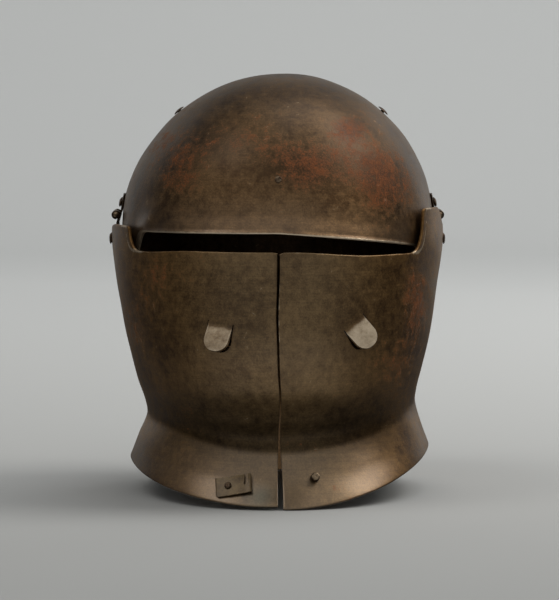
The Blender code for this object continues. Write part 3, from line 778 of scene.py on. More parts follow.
@dataclass(frozen=True)
class ForgedIron(Finish):
    """Small forged fittings, filed by hand and browned with the rest: darker than the sheet in
    the corners, rubbed bright on what stands up."""

    name: str = "forged_iron"
    body: str = "#5a4a3b"
    shade: str = "#372b22"
    bright: str = "#9c8a70"
    rough: float = 0.42

    def inputs(self, node: Callable[..., Socket], place: Socket) -> dict:
        """A mottled tone, rubbed where the attribute wear says."""
        wear = node("Attribute", out="Fac", attribute_name="wear")
        mottle = node("TexNoise", place, named={"Scale": 1 / 0.0022, "Detail": 5.0, "Roughness": 0.65})
        grit = node("TexNoise", place, named={"Scale": 1 / 0.0006, "Detail": 3.0})
        tone = node("ValToRGB", mottle, stops=((0.34, self.shade), (0.62, self.body)))
        rubbed = node("MapRange", node("Math", wear, mottle, operation="ADD"), 0.8, 1.4)
        relief = node("Math", grit, 0.5, mottle, operation="MULTIPLY_ADD")
        return {
            "Base Color": node("Mix", rubbed, named={6: tone, 7: self.bright}, out=2, data_type="RGBA"),
            "Roughness": node("MapRange", mottle, 0.3, 0.7, self.rough - 0.08, self.rough + 0.1),
            "Metallic": 0.95,
            "Normal": node("Bump", 0.4, 0.00025, named={"Height": relief}),
        }


@dataclass(frozen=True)
class TannedLeather(Finish):
    """Old vegetable-tanned strap leather: brown with darker creases and a pebbled grain of about
    a millimetre."""

    name: str = "tanned_leather"
    body: str = "#6e4427"
    shade: str = "#3f2414"

    def inputs(self, node: Callable[..., Socket], place: Socket) -> dict:
        """Clouds of brown, and the pebbled grain in the relief and the gloss."""
        pores = node("TexVoronoi", place, named={"Scale": 1 / 0.0011}, feature="F1")
        clouds = node("TexNoise", place, named={"Scale": 1 / 0.012, "Detail": 5.0})
        return {
            "Base Color": node("ValToRGB", clouds, stops=((0.35, self.shade), (0.65, self.body))),
            "Roughness": node("MapRange", pores, 0.0, 0.7, 0.55, 0.78),
            "Normal": node("Bump", 0.5, 0.0002, named={"Height": pores}),
        }


@dataclass(frozen=True)
class WovenLinen(Finish):
    """Unbleached plain-woven linen, yellowed: warp and weft cross every 0.8 mm, drawn by two
    waves of the piece's own surface coordinates."""

    name: str = "woven_linen"
    body: str = "#a8946d"
    shade: str = "#6f5d41"
    thread: float = 0.0008

    def inputs(self, node: Callable[..., Socket], place: Socket) -> dict:
        """The weave over the cloth's slubs."""
        weave = node("UVMap", uv_map="weave")
        angle = node("VectorMath", weave, named={3: math.pi / self.thread}, operation="SCALE")
        warp, weft = (node("Math", node("SeparateXYZ", angle, out=n), operation="SINE") for n in (0, 1))
        woven = node("Math", warp, weft, operation="MULTIPLY")
        slub = node("TexNoise", place, named={"Scale": 1 / 0.006, "Detail": 4.0})
        mixed = node("Math", woven, 0.18, slub, operation="MULTIPLY_ADD")
        return {
            "Base Color": node("ValToRGB", mixed, stops=((0.3, self.shade), (0.7, self.body))),
            "Roughness": 0.92,
            "Sheen Weight": 0.25,
            "Normal": node("Bump", 0.6, 0.0003, named={"Height": woven}),
        }


@dataclass(frozen=True)
class StudioPaper(Finish):
    """Matt grey paper, run from the floor up behind the helmet. Painted light: its tone is painted
    paler up the wall and towards +X."""

    name: str = "studio_paper"
    body: str = "#d9dbda"
    shade: str = "#aeb0af"

    def inputs(self, node: Callable[..., Socket], place: Socket) -> dict:
        """Painted light: the two tones, spread over depth plus height."""
        x, y, z = (node("SeparateXYZ", place, out=n) for n in range(3))
        far = node("Math", x, 0.35, node("Math", y, z, operation="ADD"), operation="MULTIPLY_ADD")
        rise = node("MapRange", far, -0.5, 2.0)
        tone = node("Mix", rise, named={6: self.shade, 7: self.body}, out=2, data_type="RGBA")
        return {"Base Color": tone, "Roughness": 0.95, "Specular IOR Level": 0.1}


@dataclass(frozen=True)
class Patch:
    """A soft-edged oval area of the front where the patina differs.

    x and z are its centre, wide and tall its half sizes, all in metres; turn is how far it is
    turned, in degrees anticlockwise.
    """

    x: float
    z: float
    wide: float
    tall: float
    strength: float = 1.0
    turn: float = 0.0

    def over(self, points: Array) -> Array:
        """Strength at each point: a bell curve of the distance from the centre in half sizes."""
        cos, sin = math.cos(math.radians(self.turn)), math.sin(math.radians(self.turn))
        x, z = points[:, 0] - self.x, points[:, 2] - self.z
        u, v = (x * cos + z * sin) / self.wide, (z * cos - x * sin) / self.tall
        return self.strength * np.exp(-(u * u + v * v)) * smooth(0.03, -0.02, points[:, 1])


def summed(patches: Sequence[Patch], points: Array) -> Array:
    """The patches' strengths together at each point."""
    return sum(patch.over(points) for patch in patches)


# ---- workshop ----
class Workshop:
    """What all sub-assemblies share: the surfaces, the helmet's place, and the finishes."""

    def __init__(self) -> None:
        """Reads the helmet's place from the hinges and makes the finishes."""
        self.form, self.hammering = Form(), Hammering()
        hinges = np.array([joint["pos_m"] for joint in frame["record"]["behaviour"]["joints"]])
        self.base = np.array([hinges[:, 0].mean(), hinges[:, 1].mean(), 0.0])
        kinds = (BrownedSteel, ForgedIron, TannedLeather, WovenLinen)
        self.finishes = {slot: kind().material() for slot, kind in zip(Slot, kinds)}

    def add(self, mesh: Mesh, body: str, slot: Slot, look: Slot | None = None) -> Object:
        """Finishes a piece: moves it to the helmet's place, dresses it, and lets it ride.

        Args:
            mesh: The piece in the helmet's own axes, named for the CAD node that it stands for.
            body: Body that it moves with.
            slot: Its material slot.
            look: The slot whose finish it wears, where that is another.

        Returns:
            The piece's object.
        """
        points = points_of(mesh) + self.base
        points[:, 2] = np.maximum(points[:, 2], 0.0)
        move_points(mesh, points)
        mesh.materials.append(self.finishes[look or slot])
        piece = linked(mesh.name, mesh)
        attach(piece, body)
        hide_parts(mesh.name.removesuffix(FINE))
        log.info("%s: %d faces on %s", piece.name, len(mesh.polygons), body)
        return piece


# ---- sheet pieces ----
@dataclass
class SheetEdge:
    """A sheet's edge as angles and heights, with the unit way across it, off the sheet; up is 1
    where that way is upwards and -1 where it is downwards."""

    surface: Surface
    turn: Array
    height: Array
    up: int

    def __post_init__(self) -> None:
        """Works out the way off the sheet: the edge's own direction crossed with the normal."""
        along = unit(np.gradient(self.surface(self.turn, self.height), axis=0))
        across = unit(np.cross(along, normals(self.surface, self.turn, self.height)))
        self.across = across * self.up * np.sign(across[5, 2])
        self.by_turn, self.by_height = slopes(self.surface, self.turn, self.height)

    def inside(self, depth: float) -> tuple[Array, Array]:
        """Angle and height of the points at a depth inside the edge: the step back along across,
        divided into its parts along the surface's two derivatives."""
        step = -depth * self.across
        turn = (step * self.by_turn).sum(-1) / (self.by_turn**2).sum(-1)
        height = (step * self.by_height).sum(-1) / (self.by_height**2).sum(-1)
        return self.turn + turn, self.height + height


def between(first: tuple, last: tuple, count: int) -> list[tuple]:
    """Rows of angles and heights that lead evenly from one row to another, both left out."""
    return [tuple(a + (b - a) * (k / count) for a, b in zip(first, last)) for k in range(1, count)]


@dataclass
class Skull:
    """The raised skull with its brow edge and its nape tail."""

    shop: Workshop
    spacing: float = 0.0018
    rim: float = 0.00105
    rim_power: float = 2.6
    dome_rows: int = 46
    low_rows: int = 18
    rust: tuple = (
        Patch(0.0690, 0.203, 0.021, 0.020, 1.0, 25),
        Patch(0.0480, 0.244, 0.012, 0.008, 0.9),
        Patch(0.0150, 0.216, 0.030, 0.016, 0.75, -15),
        Patch(-0.0680, 0.214, 0.018, 0.020, 0.65),
        Patch(-0.0400, 0.236, 0.030, 0.016, 0.40),
        Patch(0.0400, 0.226, 0.040, 0.020, 0.45),
    )
    # painted highlights: pale patches where the dome reflects the lamps, low on its front at either side
    pale: tuple = (Patch(0.0480, 0.190, 0.030, 0.018, 1.1, 30), Patch(-0.0830, 0.190, 0.014, 0.016, 0.4))
    # painted shade: dark patches on the left of the dome and across the crown
    dark: tuple = (
        Patch(-0.0480, 0.236, 0.013, 0.012, 0.6),
        Patch(0.0050, 0.262, 0.060, 0.010, 0.3),
        Patch(-0.0780, 0.200, 0.018, 0.030, 0.35),
    )
    scuffs: tuple = (
        Patch(0.0590, 0.2150, 0.0050, 0.0110, 0.42),
        Patch(0.0700, 0.1960, 0.0030, 0.0090, 0.44, 25),
        Patch(0.0450, 0.2420, 0.0120, 0.0030, 0.40, -20),
        Patch(-0.0350, 0.2460, 0.0180, 0.0080, 0.34, 20),
        Patch(-0.0500, 0.2330, 0.0120, 0.0100, 0.34),
    )
    dents: tuple = (
        Patch(-0.0850, 0.181, 0.0045, 0.0090, 1.1, -35),
        Patch(-0.0200, 0.205, 0.014, 0.012, -0.35),
        Patch(0.0420, 0.196, 0.016, 0.014, 0.30),
    )  # strength in millimetres outwards

    def edge(self) -> SheetEdge:
        """The whole lower edge, from the back round the front to the back, evenly spaced."""
        form = self.shop.form
        end = math.radians(form.tail_edge)
        side = np.linspace(-end, end, 3400)
        low = form.skull_low(side)
        bottom = np.linspace(-math.pi, -end, 60)
        rim = form.ring_heights(bottom)[-1] - 0.0004
        climb = np.linspace(rim[-1], low[0], 200)[1:-1]
        turn = np.concatenate([bottom, np.full(198, -end), side, np.full(198, end), -bottom[::-1]])
        height = np.concatenate([rim, climb, low, climb[::-1], rim[::-1]])
        path, marks = rounded(form.skull, turn, height, 4)
        count = int(marks[-1] / self.spacing)
        path = resampled(path, marks, np.linspace(0, marks[-1], count + 1)[:-1])
        return SheetEdge(form.skull, path[:, 0], path[:, 1], -1)

    def build(self) -> Mesh:
        """The sheet as a grid of columns from the crown to the edge, closed round the axis."""
        form, edge, lift = self.shop.form, self.edge(), self.shop.hammering.lift
        # each column starts at the crown in its own direction; the tail's share them out evenly
        head, tail = edge.turn.copy(), math.radians(form.tail_edge - 1.5)
        for sign in (-1, 1):
            part = (np.abs(edge.turn) >= tail) & (np.sign(edge.turn) == sign)
            head[part] = sign * np.linspace(tail, math.pi, part.sum())[::sign]
        low = form.skull_low(head) + 0.014
        dome = form.crown_z - form.equator_z
        full = np.where(
            low >= form.equator_z,
            np.arccos(np.clip((low - form.equator_z) / dome, -1, 1)),
            math.pi / 2 + (form.equator_z - low) / dome,
        )
        rows = []
        for k in range(1, self.dome_rows + 1):
            fall = full * k / self.dome_rows
            drop = np.where(fall <= math.pi / 2, np.cos(fall), math.pi / 2 - fall)
            rows.append((head, form.equator_z + dome * drop))
        rows += between((head, low), edge.inside(self.rim), self.low_rows)
        share = np.ones(len(rows) + len(ROUNDING))
        share[len(rows) :] = rim_share(self.rim * ROUNDING, self.rim, self.rim_power)
        rows += [edge.inside(depth) for depth in self.rim * ROUNDING]
        turns, heights = (np.stack([row[n] for row in rows], 1) for n in (0, 1))
        surface, out, half = form.skull(turns, heights), self.out(turns, heights), form.sheet / 2
        bent = 0.001 * summed(self.dents, surface.reshape(-1, 3)).reshape(turns.shape)
        middle = surface + out * (lift(surface) + bent - half)[..., None]
        crown = np.array([[form.crown_lean, 0, form.crown_z], [form.crown_lean, 0, form.crown_z - form.sheet]])
        crown[:, 2] += lift(crown)[0]
        return slab("skull", middle, out, half * share, crown)

    def out(self, turn: Array, height: Array) -> Array:
        """Unit normals of the skull: the ellipsoid's own above the brow's flare, where the height
        would be too steep a measure, and central differences below it."""
        form = self.shop.form
        reach = np.where(np.cos(turn) >= 0, form.skull_front, form.skull_back)
        dome = np.full_like(reach, form.crown_z - form.equator_z)
        sizes = np.stack([np.full_like(reach, form.skull_half), reach, dome], -1)
        lean = form.lean(height)
        centre = np.stack([lean, 0 * lean, 0 * lean + form.equator_z], -1)
        high = unit((form.skull(turn, height) - centre) / sizes**2)
        low = normals(form.skull, turn, np.minimum(height, 0.215))
        return unit(low + (high - low) * smooth(0.192, 0.202, height)[..., None])

    def make(self) -> None:
        """Builds the skull, paints its patina, its painted highlights and painted shade and the wear of its
        edge, and mounts it.
        """
        mesh = self.build()
        points = points_of(mesh)
        turn = np.arctan2(points[:, 0], -points[:, 1])
        above = points[:, 2] - self.shop.form.skull_low(turn)
        front = smooth(math.radians(66), math.radians(56), np.abs(turn))
        rust, pale, dark, scuffs = (
            summed(patches, points) for patches in (self.rust, self.pale, self.dark, self.scuffs)
        )
        # painted highlights and painted shade from the patches; the dome is also painted darker from 10 mm to
        # 60 mm above its lower edge
        tone = (1 + 0.55 * pale - 0.45 * dark) * (1 - 0.45 * smooth(0.010, 0.060, above))
        # the brow's edge is painted bright: partly rubbed wear, partly a painted highlight on its turned-out
        # lip
        paint(
            mesh,
            wear=1.15 * (1 - smooth(0.0004, 0.0016, above)) * front + scuffs,
            rust=rust,
            polish=0.12 + 0.45 * (1 - smooth(0.0, 0.030, above)) * front,
            tint=np.array([1.33, 1.24, 1.34]) * tone[:, None],
        )
        self.shop.add(mesh, "skull", Slot.STEEL)


@dataclass(frozen=True)
class Vent:
    """A tongue cut on three sides and bent out of the sheet.

    x and height are the middle of its fold, spin turns its free end from straight down in
    degrees anticlockwise, and lift is how far it is bent out, in degrees, over the bend.
    """

    x: float
    height: float
    spin: float
    width: float
    length: float
    radius: float
    lift: float
    slot: float = 0.0007
    bend: float = 0.0045

    def outline(self, inset: float) -> list[tuple[float, float]]:
        """The tongue's outline with its fold on y=0 and its free end rounded, anticlockwise."""
        half, length, radius = self.width / 2 - inset, self.length - inset, self.radius - inset
        turn = np.radians(np.linspace(0, 90, 9))
        x, y = half - radius + radius * np.cos(turn), length - radius + radius * np.sin(turn)
        return [(half, 0.0), *zip(x, y), *zip(-x[::-1], y[::-1]), (-half, 0.0)]

    def tool(self, place: Matrix, name: str) -> Object:
        """The narrow slot round the three cut sides, as a cutting tool."""
        return prism(name, [*self.outline(0.0), *reversed(self.outline(self.slot))], 0.012, place)

    def bent(self, points: Array, place: Matrix) -> tuple[Array, Array, Array]:
        """Bends the tongue out: an arc over the bend length, then straight.

        Args:
            points: The sheet's vertices.
            place: Frame of the fold, with Y down the tongue and Z out.

        Returns:
            The moved vertices, which of them are the tongue's, and all in the frame.
        """
        local = carried(place.inverted(), points)
        x, y, z = local.T
        reach = self.slot / 2
        corner_x = np.maximum(np.abs(x) - (self.width / 2 - self.radius), 0)
        corner_y = np.maximum(y - (self.length - self.radius), 0)
        inside = (np.abs(x) <= self.width / 2 - reach) & (y > 0) & (y <= self.length - reach)
        inside &= (np.abs(z) < 0.006) & (np.hypot(corner_x, corner_y) <= self.radius - reach)
        full = math.radians(self.lift)
        angle = full * np.clip(y / self.bend, 0, 1)
        radius = self.bend / full
        over = np.maximum(y - self.bend, 0)
        down = radius * np.sin(angle) + over * math.cos(full) - z * np.sin(angle)
        up = radius * (1 - np.cos(angle)) + over * math.sin(full) + z * np.cos(angle)
        moved = np.where(inside[:, None], np.stack([x, down, up], -1), local)
        return carried(place, moved), inside, local


@dataclass
class CheekPiece:
    """One cheek piece: sight edge, notch, hinge bay, collar and rear edge, with its vent."""

    shop: Workshop
    side: Side
    vent: Vent
    spacing: float = 0.0015
    rows: int = 104
    rim: float = 0.00105
    rim_power: float = 2.6
    seam_rim: float = 0.00035
    corner: float = 0.0014
    rust: tuple = (
        Patch(-0.0930, 0.120, 0.016, 0.030, 0.5),
        Patch(0.0900, 0.128, 0.012, 0.040, 0.75),
        Patch(-0.0700, 0.150, 0.020, 0.012, 0.3),
        Patch(0.0740, 0.095, 0.020, 0.020, 0.35),
    )
    # painted highlights: pale patches where the front of the face and the collar reflect the lamps
    pale: tuple = (
        Patch(-0.0200, 0.088, 0.022, 0.014, 0.70),
        Patch(0.0280, 0.084, 0.030, 0.016, 0.75, 12),
        Patch(0.0560, 0.010, 0.030, 0.012, 0.10),
        Patch(-0.0420, 0.008, 0.022, 0.012, 0.30),
    )
    # painted shade: a dark spot inside the latch plate's notch, and the collar's sides darkened
    dark: tuple = (
        Patch(-0.0212, 0.0085, 0.0016, 0.0042, 1.3, 13),
        Patch(-0.0950, 0.0200, 0.0220, 0.0200, 1.1),
        Patch(0.0980, 0.0220, 0.0180, 0.0200, 1.1),
    )
    stain: tuple = (Patch(-0.0110, 0.0085, 0.0085, 0.0055, 0.9, 10),)
    collar_z: float = 0.0345
    collar_bow: float = 2.4

    def surface(self, turn: Array, height: Array) -> Array:
        """The piece's outer surface, with its chin edge in place."""
        form = self.shop.form
        return form.seam(self.side.value, form.cheek(turn, height, self.side.value))

    def build(self) -> Mesh:
        """The sheet as columns from the upper edge to the rim, closed along all four edges."""
        form, sign = self.shop.form, self.side.value
        turn = np.radians(np.linspace(0.0, form.cheek_rear, 3400)) * sign
        path, marks = rounded(self.surface, turn, form.cheek_top(sign, turn), 3)
        total, near = marks[-1], ROUNDING[::-1]
        fine, ends = self.rim * near, self.seam_rim * near
        count = int((total - 0.001) / self.spacing)
        even = np.linspace(self.seam_rim, total - self.seam_rim, count + 1)[1:-1]
        along = np.concatenate([ends, even, total - ends[::-1]])
        turn, height = resampled(path, marks, along).T
        height = height - self.corner * np.clip(1 - along / 0.004, 0, 1) ** 2
        top = SheetEdge(self.surface, turn, height, 1)
        low = SheetEdge(self.surface, turn, form.ring_heights(turn, sign)[-1], -1)
        rows = [top.inside(depth) for depth in fine]
        rows += between(top.inside(self.rim), low.inside(self.rim), self.rows)
        rows += [low.inside(depth) for depth in fine[::-1]]
        turns, heights = (np.stack([row[n] for row in rows], 1) for n in (0, 1))
        depths = np.concatenate([fine, np.full(self.rows - 1, 1.0), fine[::-1]])
        share = rim_share(depths, self.rim, self.rim_power)[None, :]
        share = share * rim_share(np.minimum(along, total - along), self.seam_rim, 2.0)[:, None]
        surface, out = self.surface(turns, heights), normals(self.surface, turns, heights)
        half = form.sheet / 2
        middle = surface + out * (self.shop.hammering.lift(surface) - half)[..., None]
        return slab(f"cheek_piece_{self.side.label}", middle, out, half * share)

    def with_vent(self, mesh: Mesh) -> tuple[Mesh, Array, Array]:
        """Cuts the vent's slot and bends its tongue.

        Args:
            mesh: The whole sheet.

        Returns:
            The mesh, the share of each vertex that is tongue, and the wear of the tongue's edge.
        """
        vent = self.vent
        turn = turn_at(self.surface, vent.x, vent.height)
        spun = Matrix.Rotation(math.radians(180 + vent.spin), 4, "Z")
        place = frame_on(self.surface, turn, vent.height) @ spun
        mesh = combined(mesh, [vent.tool(place, mesh.name + "_vent")])
        moved, inside, local = vent.bent(points_of(mesh), place)
        end = local[:, 1] - (vent.length - 0.0022)
        edge = np.abs(local[:, 0]) - (vent.width / 2 - 0.0016)
        tongue = inside * smooth(0.0, vent.bend, local[:, 1])
        rubbed = inside * np.clip(np.maximum(end, edge) / 0.0012, 0, 1)
        move_points(mesh, moved)
        return creased(mesh, 50), tongue, rubbed

    def make(self) -> None:
        """Builds the piece, paints its patina, wear, painted highlights and painted shade, and mounts it."""
        form, sign = self.shop.form, self.side.value
        mesh, tongue, rubbed = self.with_vent(self.build())
        points = points_of(mesh)
        x, y, z = points.T
        turn, beside = np.arctan2(x, -y), np.abs(x)
        top = np.abs(form.cheek_top(sign, turn) - z)
        low = np.abs(z - form.ring_heights(turn, sign)[-1])
        chin = np.where(y < 0, np.abs(x - form.seam_x[sign > 0]), 1.0)
        angle = np.abs(np.degrees(turn))
        notch = smooth(46, 52, angle) * smooth(70, 64, angle)
        chips = 0.30 + (0.30 + 0.25 * np.sin(900 * z) * np.sin(331 * z)) * (sign > 0)
        # the tongues are rubbed bright over their whole face, more on the +X side: partly wear, partly a
        # painted highlight where they tilt up towards the light
        edges = (
            0.42 * (1 - smooth(0.0003, 0.0014, top)),
            0.75 * notch * (1 - smooth(0.0006, 0.0022, top)),
            chips * (1 - smooth(0.0003, 0.0014, chin)),
            0.22 * (1 - smooth(0.0003, 0.0012, low)),
            tongue * (0.74 + 0.10 * sign) + rubbed * 0.25,
        )
        rust, pale, dark, stain = (
            summed(patches, points) for patches in (self.rust, self.pale, self.dark, self.stain)
        )
        # the middle of the front is painted greyer and the sides a warmer brown: partly patina, partly painted
        # reflection on the middle
        warm = smooth(0.02, 0.095, beside)
        # painted shade: under the chin a band is painted dark, down to a curved border; below it the collar is
        # polished
        above = z - (self.collar_z + self.collar_bow * x**2)
        border = smooth(-0.0020, 0.0025, above)
        painted_neck_shade = border * (1 - smooth(0.010, 0.040, above))
        painted_neck_shade = painted_neck_shade * smooth(0.100, 0.060, beside) * smooth(0.03, -0.02, y)
        kept = (1 - border) * smooth(0.090, 0.060, beside)
        polish = 0.10 + 0.22 * (1 - warm) + 0.50 * kept + 0.4 * tongue
        tint = np.array([1.20, 1.22, 1.30]) + warm[:, None] * np.array([0.22, 0.02, -0.28])
        # the tint takes the painted highlights, the paler tongues, the painted shade and the painted shade
        # under the chin
        tint = tint * ((1 + 0.55 * (pale + 0.9 * tongue) - 0.45 * dark) * (1 - 0.68 * painted_neck_shade))[:, None]
        paint(
            mesh,
            wear=np.max(edges, axis=0),
            rust=rust,
            polish=polish * (1 - 0.75 * painted_neck_shade),
            tint=tint * (1 + stain[:, None] * np.array([-0.35, -0.05, 0.35])),
        )
        self.shop.add(mesh, self.side.body, Slot.STEEL)


# ---- rivets ----
@dataclass(frozen=True)
class Rivet:
    """A hammered rivet on Z: a domed head above zero, a shank through the grip, and the tail
    spread inside."""

    head_radius: float
    head_height: float
    grip: float
    tail_radius: float = 0.0024
    tail_height: float = 0.0006
    shank: float = 0.0014
    dome: float = 2.4
    wear: float = 0.35

    def mesh(self, name: str, place: Matrix, sides: int = 28) -> Mesh:
        """The rivet standing a gap above the surface at place; the head's section is the
        superellipse (r/R)^p + (h/H)^p = 1."""
        bottom = -self.grip - 2 * GAP
        turn, tail = np.radians(np.linspace(0, 84, 12)), np.radians(np.linspace(84, 0, 6))
        head_r = self.head_radius * np.cos(turn) ** (2 / self.dome)
        head_h = self.head_height * np.sin(turn) ** (2 / self.dome)
        tail_h = bottom - self.tail_height * np.sin(tail) ** 0.8
        radius = np.concatenate([self.tail_radius * np.cos(tail) ** 0.8, [self.shank, self.shank], head_r])
        height = np.concatenate([tail_h, [bottom, 0.0], head_h])
        lifted = place @ Matrix.Translation((0, 0, GAP))
        made = turned(name, np.stack([radius, height], -1), sides, lifted, 0.018)
        above = carried(place.inverted(), points_of(made))[:, 2]
        paint(made, wear=self.wear * smooth(0.35, 1.0, above / self.head_height))
        return made


# ---- hinges ----
@dataclass
class Hinge:
    """A temple hinge: the upper leaf riveted outside the skull, the lower leaf inside the cheek
    piece, each rolled round one pin."""

    shop: Workshop
    side: Side
    axis_x: float = 0.1078
    axis_z: float = 0.1842
    half_length: float = 0.0120
    middle: float = 0.0045
    leaf: float = 0.0013
    knuckle: float = 0.0030
    pin: float = 0.0015
    rivet_y: float = 0.0068

    def rolled(self, name: str, straight: Array, start: float, end: float, reach: float) -> Mesh:
        """A leaf whose section follows a path in XZ and then an arc round the pin.

        Args:
            name: The mesh's name.
            straight: The path up to the arc.
            start: The arc's start, in degrees from the outward direction, anticlockwise.
            end: Its end.
            reach: Half the leaf's length along Y; its ends are drawn in over 0.3 mm.

        Returns:
            The leaf on its side.
        """
        turn = np.radians(np.linspace(start, end, 34))
        radius = self.knuckle - self.leaf / 2
        arc = np.stack([self.axis_x + radius * np.cos(turn), self.axis_z + radius * np.sin(turn)], -1)
        path = np.concatenate([straight, arc])
        along = unit(np.gradient(path, axis=0))
        across = np.stack([-along[:, 1], along[:, 0]], -1) * self.leaf / 2
        flip = np.array([self.side.value, 1.0])
        soft = np.array([[0.0, 0.55], [0.00008, 0.82], [0.0003, 1.0]])
        near = soft + np.array([-reach, 0.0])
        stations = np.concatenate([near, near[::-1] * np.array([-1, 1])])
        return extruded(name, (path + across) * flip, (path - across) * flip, stations)

    def upper(self) -> Mesh:
        """The leaf lies on the skull above the axis, comes off it to the pin, and rolls under and
        round it; its full-width plate stops over the lower leaf's knuckles."""
        skull = self.shop.form.skull
        lift = self.leaf / 2 + GAP
        height = np.linspace(0.1978, 0.1868, 12)
        turn = np.full_like(height, math.pi / 2)
        lie = skull(turn, height) + normals(skull, turn, height) * lift
        name = f"hinge_upper_leaf_{self.side.label}"
        knuckle = self.rolled(name, lie[:, [0, 2]], 176, 452, self.middle)
        height = np.linspace(0.1978, 0.1882, 14)
        y = np.linspace(-self.half_length, self.half_length, 34)
        turn = self.side.value * (math.pi / 2 + y / self.shop.form.skull_back)
        turns, heights = np.meshgrid(turn, height, indexing="ij")
        out = normals(skull, turns, heights)
        depth = np.minimum(height.max() - height, height - height.min())
        share = rim_share(self.half_length - np.abs(y), 0.0005, 2.6)[:, None]
        share = share * rim_share(depth, 0.0005, 2.6)[None]
        plate = slab(name + "_plate", skull(turns, heights) + out * lift, out, self.leaf / 2 * share)
        return creased(combined(knuckle, [linked(plate.name, plate)], "UNION"), 42)

    def lower(self) -> Mesh:
        """The leaf hangs inside the cheek piece and rolls over the pin from within; the middle of
        its knuckle is cut away for the upper one."""
        form, sign = self.shop.form, self.side.value
        wall = abs(form.cheek(np.array(sign * math.pi / 2), np.array(0.1610))[0]) - form.sheet
        height = np.linspace(0.1612, 0.1790, 12)
        straight = np.stack([np.full_like(height, wall - 0.0010 - self.leaf / 2), height], -1)
        leaf = self.rolled(f"hinge_lower_leaf_{self.side.label}", straight, 186, -92, self.half_length)
        room = self.middle + GAP
        outline = [(-0.008, -room), (0.008, -room), (0.008, room), (-0.008, room)]
        centre = Matrix.Translation((sign * self.axis_x, 0, self.axis_z))
        return combined(leaf, [prism(leaf.name + "_room", outline, self.knuckle + 0.0008, centre)])

    def make(self) -> None:
        """Builds and mounts the leaves, the pin and the four rivets."""
        side, sign, shop, form = self.side, self.side.value, self.shop, self.shop.form
        for leaf, body in ((self.upper(), "skull"), (self.lower(), side.body)):
            points = points_of(leaf)
            x, z = points[:, 0] * sign - self.axis_x, points[:, 2] - self.axis_z
            knuckle = smooth(0.0024, 0.0031, np.hypot(x, z)) * smooth(-0.001, 0.002, x)
            paint(leaf, wear=knuckle * 0.7)
            shop.add(leaf, body, Slot.IRON)
        reach = self.half_length + GAP
        end = np.array([(0.3 * self.pin, 0.0010), (0.8 * self.pin, 0.0009), (1.2 * self.pin, 0.0005),
                        (1.32 * self.pin, 0.0), (self.pin, 0.0)]) + np.array([0, reach])
        profile = np.concatenate([end * np.array([1, -1]), end[::-1]])
        spun = Matrix.Rotation(math.radians(-90), 4, "X")
        place = Matrix.Translation((sign * self.axis_x, 0, self.axis_z)) @ spun
        pin = turned(f"hinge_pin_{side.label}", profile, 24, place, 0.02)
        paint(pin, wear=np.full(len(pin.vertices), 0.5))
        shop.add(pin, frame["nodes"][f"hinge_pin_{side.label}"]["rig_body"], Slot.IRON)
        grip = form.sheet + self.leaf + 4 * GAP
        for number, y in ((1, -self.rivet_y), (2, self.rivet_y)):
            turn = sign * (math.pi / 2 + y / form.skull_back)
            place = frame_on(form.skull, turn, 0.1918, self.leaf + 2 * GAP)
            rivet = Rivet(0.0031, 0.0013, grip).mesh(f"hinge_upper_rivet_{side.label}_{number}", place)
            shop.add(rivet, "skull", Slot.IRON)
            place = frame_on(form.cheek, sign * (math.pi / 2 + y / 0.125), 0.1680)
            rivet = Rivet(0.0036, 0.0013, grip + GAP).mesh(f"hinge_lower_rivet_{side.label}_{number}", place)
            shop.add(rivet, side.body, Slot.IRON)


